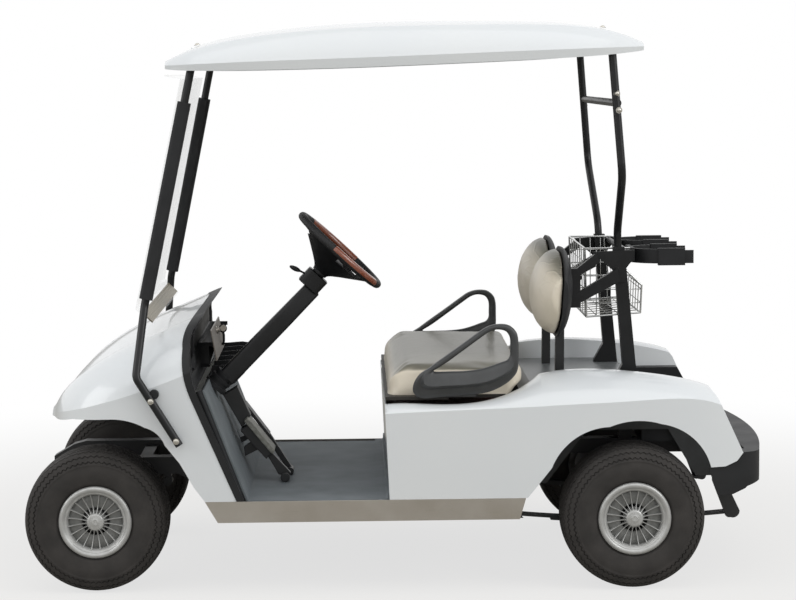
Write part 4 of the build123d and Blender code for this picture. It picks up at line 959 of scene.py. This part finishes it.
# Fasteners: plated dome-head bolts on washers, through the struts and the roof, and the black ABS spacers
# that hold the front struts off the cowl.
zinc, tree, shader, spot = surface("bright_zinc_plated_steel", "#b9b6ae", roughness=0.3, metallic=1.0)
tarnish = add(tree, "TexNoise", {"Vector": spot, "Scale": 1 / 0.006, "Detail": 3.0})
gloss = add(tree, "MapRange", {"Value": tarnish.outputs[0], "To Min": 0.2, "To Max": 0.5})
tree.links.new(gloss.outputs[0], shader.inputs["Roughness"])
# The heads on the struts' flanks are low, because nothing else stands as far out
HEAD = [(0, 0.01), (0, 10), (1.5, 10), (1.6, 7.2), (3.2, 6.8), (5.2, 5.2), (6.3, 2.8), (6.6, 0.01)]
LOW_HEAD = [(0, 0.01), (0, 9.5), (0.8, 9.5), (0.9, 7.2), (1.8, 6.4), (2.4, 4.6), (2.7, 2.4), (2.8, 0.01)]
BOLTS = [
    # head, place on the left side, and the way it faces
    (LOW_HEAD, (691, 624.3, 492), (0, 1, 0)),
    (LOW_HEAD, (767, 622.2, 616), (0, 1, 0)),
    (HEAD, (-677, 513.4, 1542), (0, 1, 0)),
    (HEAD, (-683, 520.0, 1491), (0, 1, 0)),
    (HEAD, (630, 250, 1705.5), (0.2, 0, 1)),
    (HEAD, (-662, 250, 1750), (-0.1, 0, 1)),
]
heads = []
for head, (x, y, z), towards in BOLTS:
    for side in (1, -1):
        heads.append(placed(spin(head, 24), (x, side * y, z), (towards[0], side * towards[1], towards[2])))
SPACER = [(0, 0.01), (0, 15), (13, 15), (15, 13), (15, 0.01)]
pair = [placed(spin(SPACER, 32), (758, side * 594, 636), (0, side, 0)) for side in (1, -1)]
spacers = shape("strut_spacers", *joined(pair), black_abs, sharp=35)
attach(spacers, "chassis")
bolts = shape("dome_bolts", *joined(heads), zinc, sharp=40)
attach(bolts, "chassis")


# Floor seals: the rubber mat's end strip, turned up against the foot of the seat riser, and a bulb seal down
# each side of the kick board that closes it to the cowl. Both are extruded and glued.
END_STRIP = [(70, 294.1), (70, 295.4), (47, 297.2), (42.4, 300.5), (41.3, 318), (37.6, 318), (36.6, 301),
             (37.0, 292.5), (51.6, 292.5), (51.6, 294.1)]
across_floor = (-584, -300, 0, 300, 584)
strip = swept(END_STRIP, *across_floor)
around = len(END_STRIP)
walls = [tuple(range(around)), tuple(range(len(strip) - around, len(strip)))[::-1]]
for k in range(len(across_floor) - 1):
    for j in range(around):
        near, far = k * around + j, k * around + (j + 1) % around
        walls.append((near + around, far + around, far, near))
end_strip = shape("mat_end_strip", strip, walls, mat_rubber, smooth=False)
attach(end_strip, "chassis")
# The kick board leans forward by 0.377 of its rise, and the seals' middle passes through x 603 at z 587.5
bulbs = []
for y in (-573, 573):
    run = [(603 + 0.377 * (z - 587.5), y, z) for z in range(302, 641, 26)]
    bulbs.append(tube(run, 9, 12))
bulb_seals = shape("kick_board_bulb_seals", *joined(bulbs), epdm)
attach(bulb_seals, "chassis")


# Brake pedal: folded steel hinged at its foot, with a push arm into the kick board's slot, the parking
# latch's plate above, and a rubber tread bonded to its face. The steel is powder-coated black.
def slab(profile, low, high):
    """A flat plate from its outline in the X-Z plane and its two sides, in mm."""
    if sum(a[0] * b[1] - b[0] * a[1] for a, b in zip(profile, profile[1:] + profile[:1])) < 0:
        profile = profile[::-1]
    n = len(profile)
    faces = [tuple(range(n)), tuple(range(2 * n - 1, n - 1, -1))]
    faces += [(k, n + k, n + (k + 1) % n, (k + 1) % n) for k in range(n)]
    return swept(profile, low, high), faces


def rounded(made, width):
    """Rounds a piece's sharp edges by a width in mm."""
    edge = made.modifiers.new("edge", "BEVEL")
    edge.width = width / 1000
    edge.segments = 2
    edge.angle_limit = math.radians(40)
    applied(made)


PEDAL_Y = 225
FOOT = [(370 + 15 * math.cos(t), 310 + 15 * math.sin(t)) for t in (math.tau * k / 24 for k in range(24))]
plates = [
    slab([(513, 466), (488, 484), (412, 392), (430, 372)], PEDAL_Y - 34, PEDAL_Y + 34),
    slab([(508, 470), (480, 510), (522, 606), (568, 578)], PEDAL_Y - 47, PEDAL_Y + 1),
    slab([(503, 408), (500, 378), (450, 403), (474, 431)], PEDAL_Y - 9, PEDAL_Y + 9),
    slab([(426, 378), (414, 392), (352, 322), (358, 308), (392, 318)], PEDAL_Y - 12, PEDAL_Y + 12),
    slab(FOOT, PEDAL_Y - 30, PEDAL_Y + 30),
]
lever = shape("brake_pedal_lever", *joined(plates), powder_coat, smooth=False)
rounded(lever, 1.5)
tread, tree, shader, spot = surface("moulded_rubber_tread", "#6a6a66", roughness=0.6)
# The studs are 7 mm apart, and dirt lies between them in patches of 12 mm
studs = add(tree, "TexVoronoi", {"Vector": spot, "Scale": 1 / 0.007}, feature="SMOOTH_F1")
dirt = add(tree, "TexNoise", {"Vector": spot, "Scale": 1 / 0.012, "Detail": 3.0})
tone = add(tree, "Mix", {0: dirt.outputs[0], 6: linear("#3c3c3a"), 7: linear("#97978f")}, data_type="RGBA")
tree.links.new(tone.outputs[2], shader.inputs["Base Color"])
bump = add(tree, "Bump", {"Height": studs.outputs[0], "Strength": 0.7, "Distance": 0.0015}, invert=True)
tree.links.new(bump.outputs[0], shader.inputs["Normal"])
PAD = [(500, 499), (489, 508), (474, 494), (401, 402), (408, 390), (416, 395)]
pad = shape("brake_pedal_tread", *slab(PAD, PEDAL_Y - 48, PEDAL_Y + 48), tread, smooth=False)
rounded(pad, 3)
for one in (lever, pad):
    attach(one, "chassis")
    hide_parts("brake_pedal")


# Windscreen's foot: a beige-grey sealing strip, extruded in PVC with fine ribs. It is pressed on the sheet's
# lower fold.
seal, tree, shader, spot = surface("extruded_grey_pvc", "#8f8775", roughness=0.45)
# The strip's ribs are 6 mm apart
ribs = add(tree, "TexWave", {"Vector": spot, "Scale": BAND / 0.006}, bands_direction="Z")
bump = add(tree, "Bump", {"Height": ribs.outputs[0], "Strength": 0.6, "Distance": 0.0012})
tree.links.new(bump.outputs[0], shader.inputs["Normal"])
STRIP = [(768, 846), (800, 876.5), (797.5, 879.5), (765.5, 849)]
foot = shape("windscreen_foot_strip", swept(STRIP, -500, 500), SIX_FACES, seal, smooth=False)
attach(foot, "chassis")


# Basket's mesh: fine steel wires laid across the basket's hoops and over its ends, welded at each crossing
# and plated with them. The rear wall leans back and then steps forward to the rim, as the hoops do.
BACK = [(-782, 836), (-786, 925), (-724, 985), (-724, 1045)]
ENDS = (-262, 262)
FLOOR_Z, RIM_Z = 826, 1045


def back_x(z):
    """The basket's rear wall at a height."""
    for (x0, z0), (x1, z1) in zip(BACK, BACK[1:]):
        if z <= z1:
            return x0 + (x1 - x0) * (z - z0) / (z1 - z0)
    return BACK[-1][0]


# The front wall leans 5 mm over its 221 mm, the slope behind is 60 mm high and 62 mm long, and the floor
# rises backwards by 0.069 of its run
runs = []
for z in (868, 912, 956, 1000):
    front = -603 - 5 * (RIM_Z - z) / 221
    for x in (front, back_x(z)):
        runs.append([(x, y, z) for y in ENDS])
    runs += [[(front, y, z), (back_x(z), y, z)] for y in ENDS]
for x in (-640, -675, -710, -745):
    top = RIM_Z if x > -724 else 985 - (-724 - x) * 60 / 62
    bottom = FLOOR_Z + (-608 - x) * 0.069
    runs += [[(x, y, bottom), (x, y, top)] for y in ENDS]
    runs.append([(x, y, bottom) for y in ENDS])
mesh_wires = shape("basket_mesh_wires", *joined([tube(run, 1.5, 6) for run in runs]), bright_wire)
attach(mesh_wires, "chassis")


low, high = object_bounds()
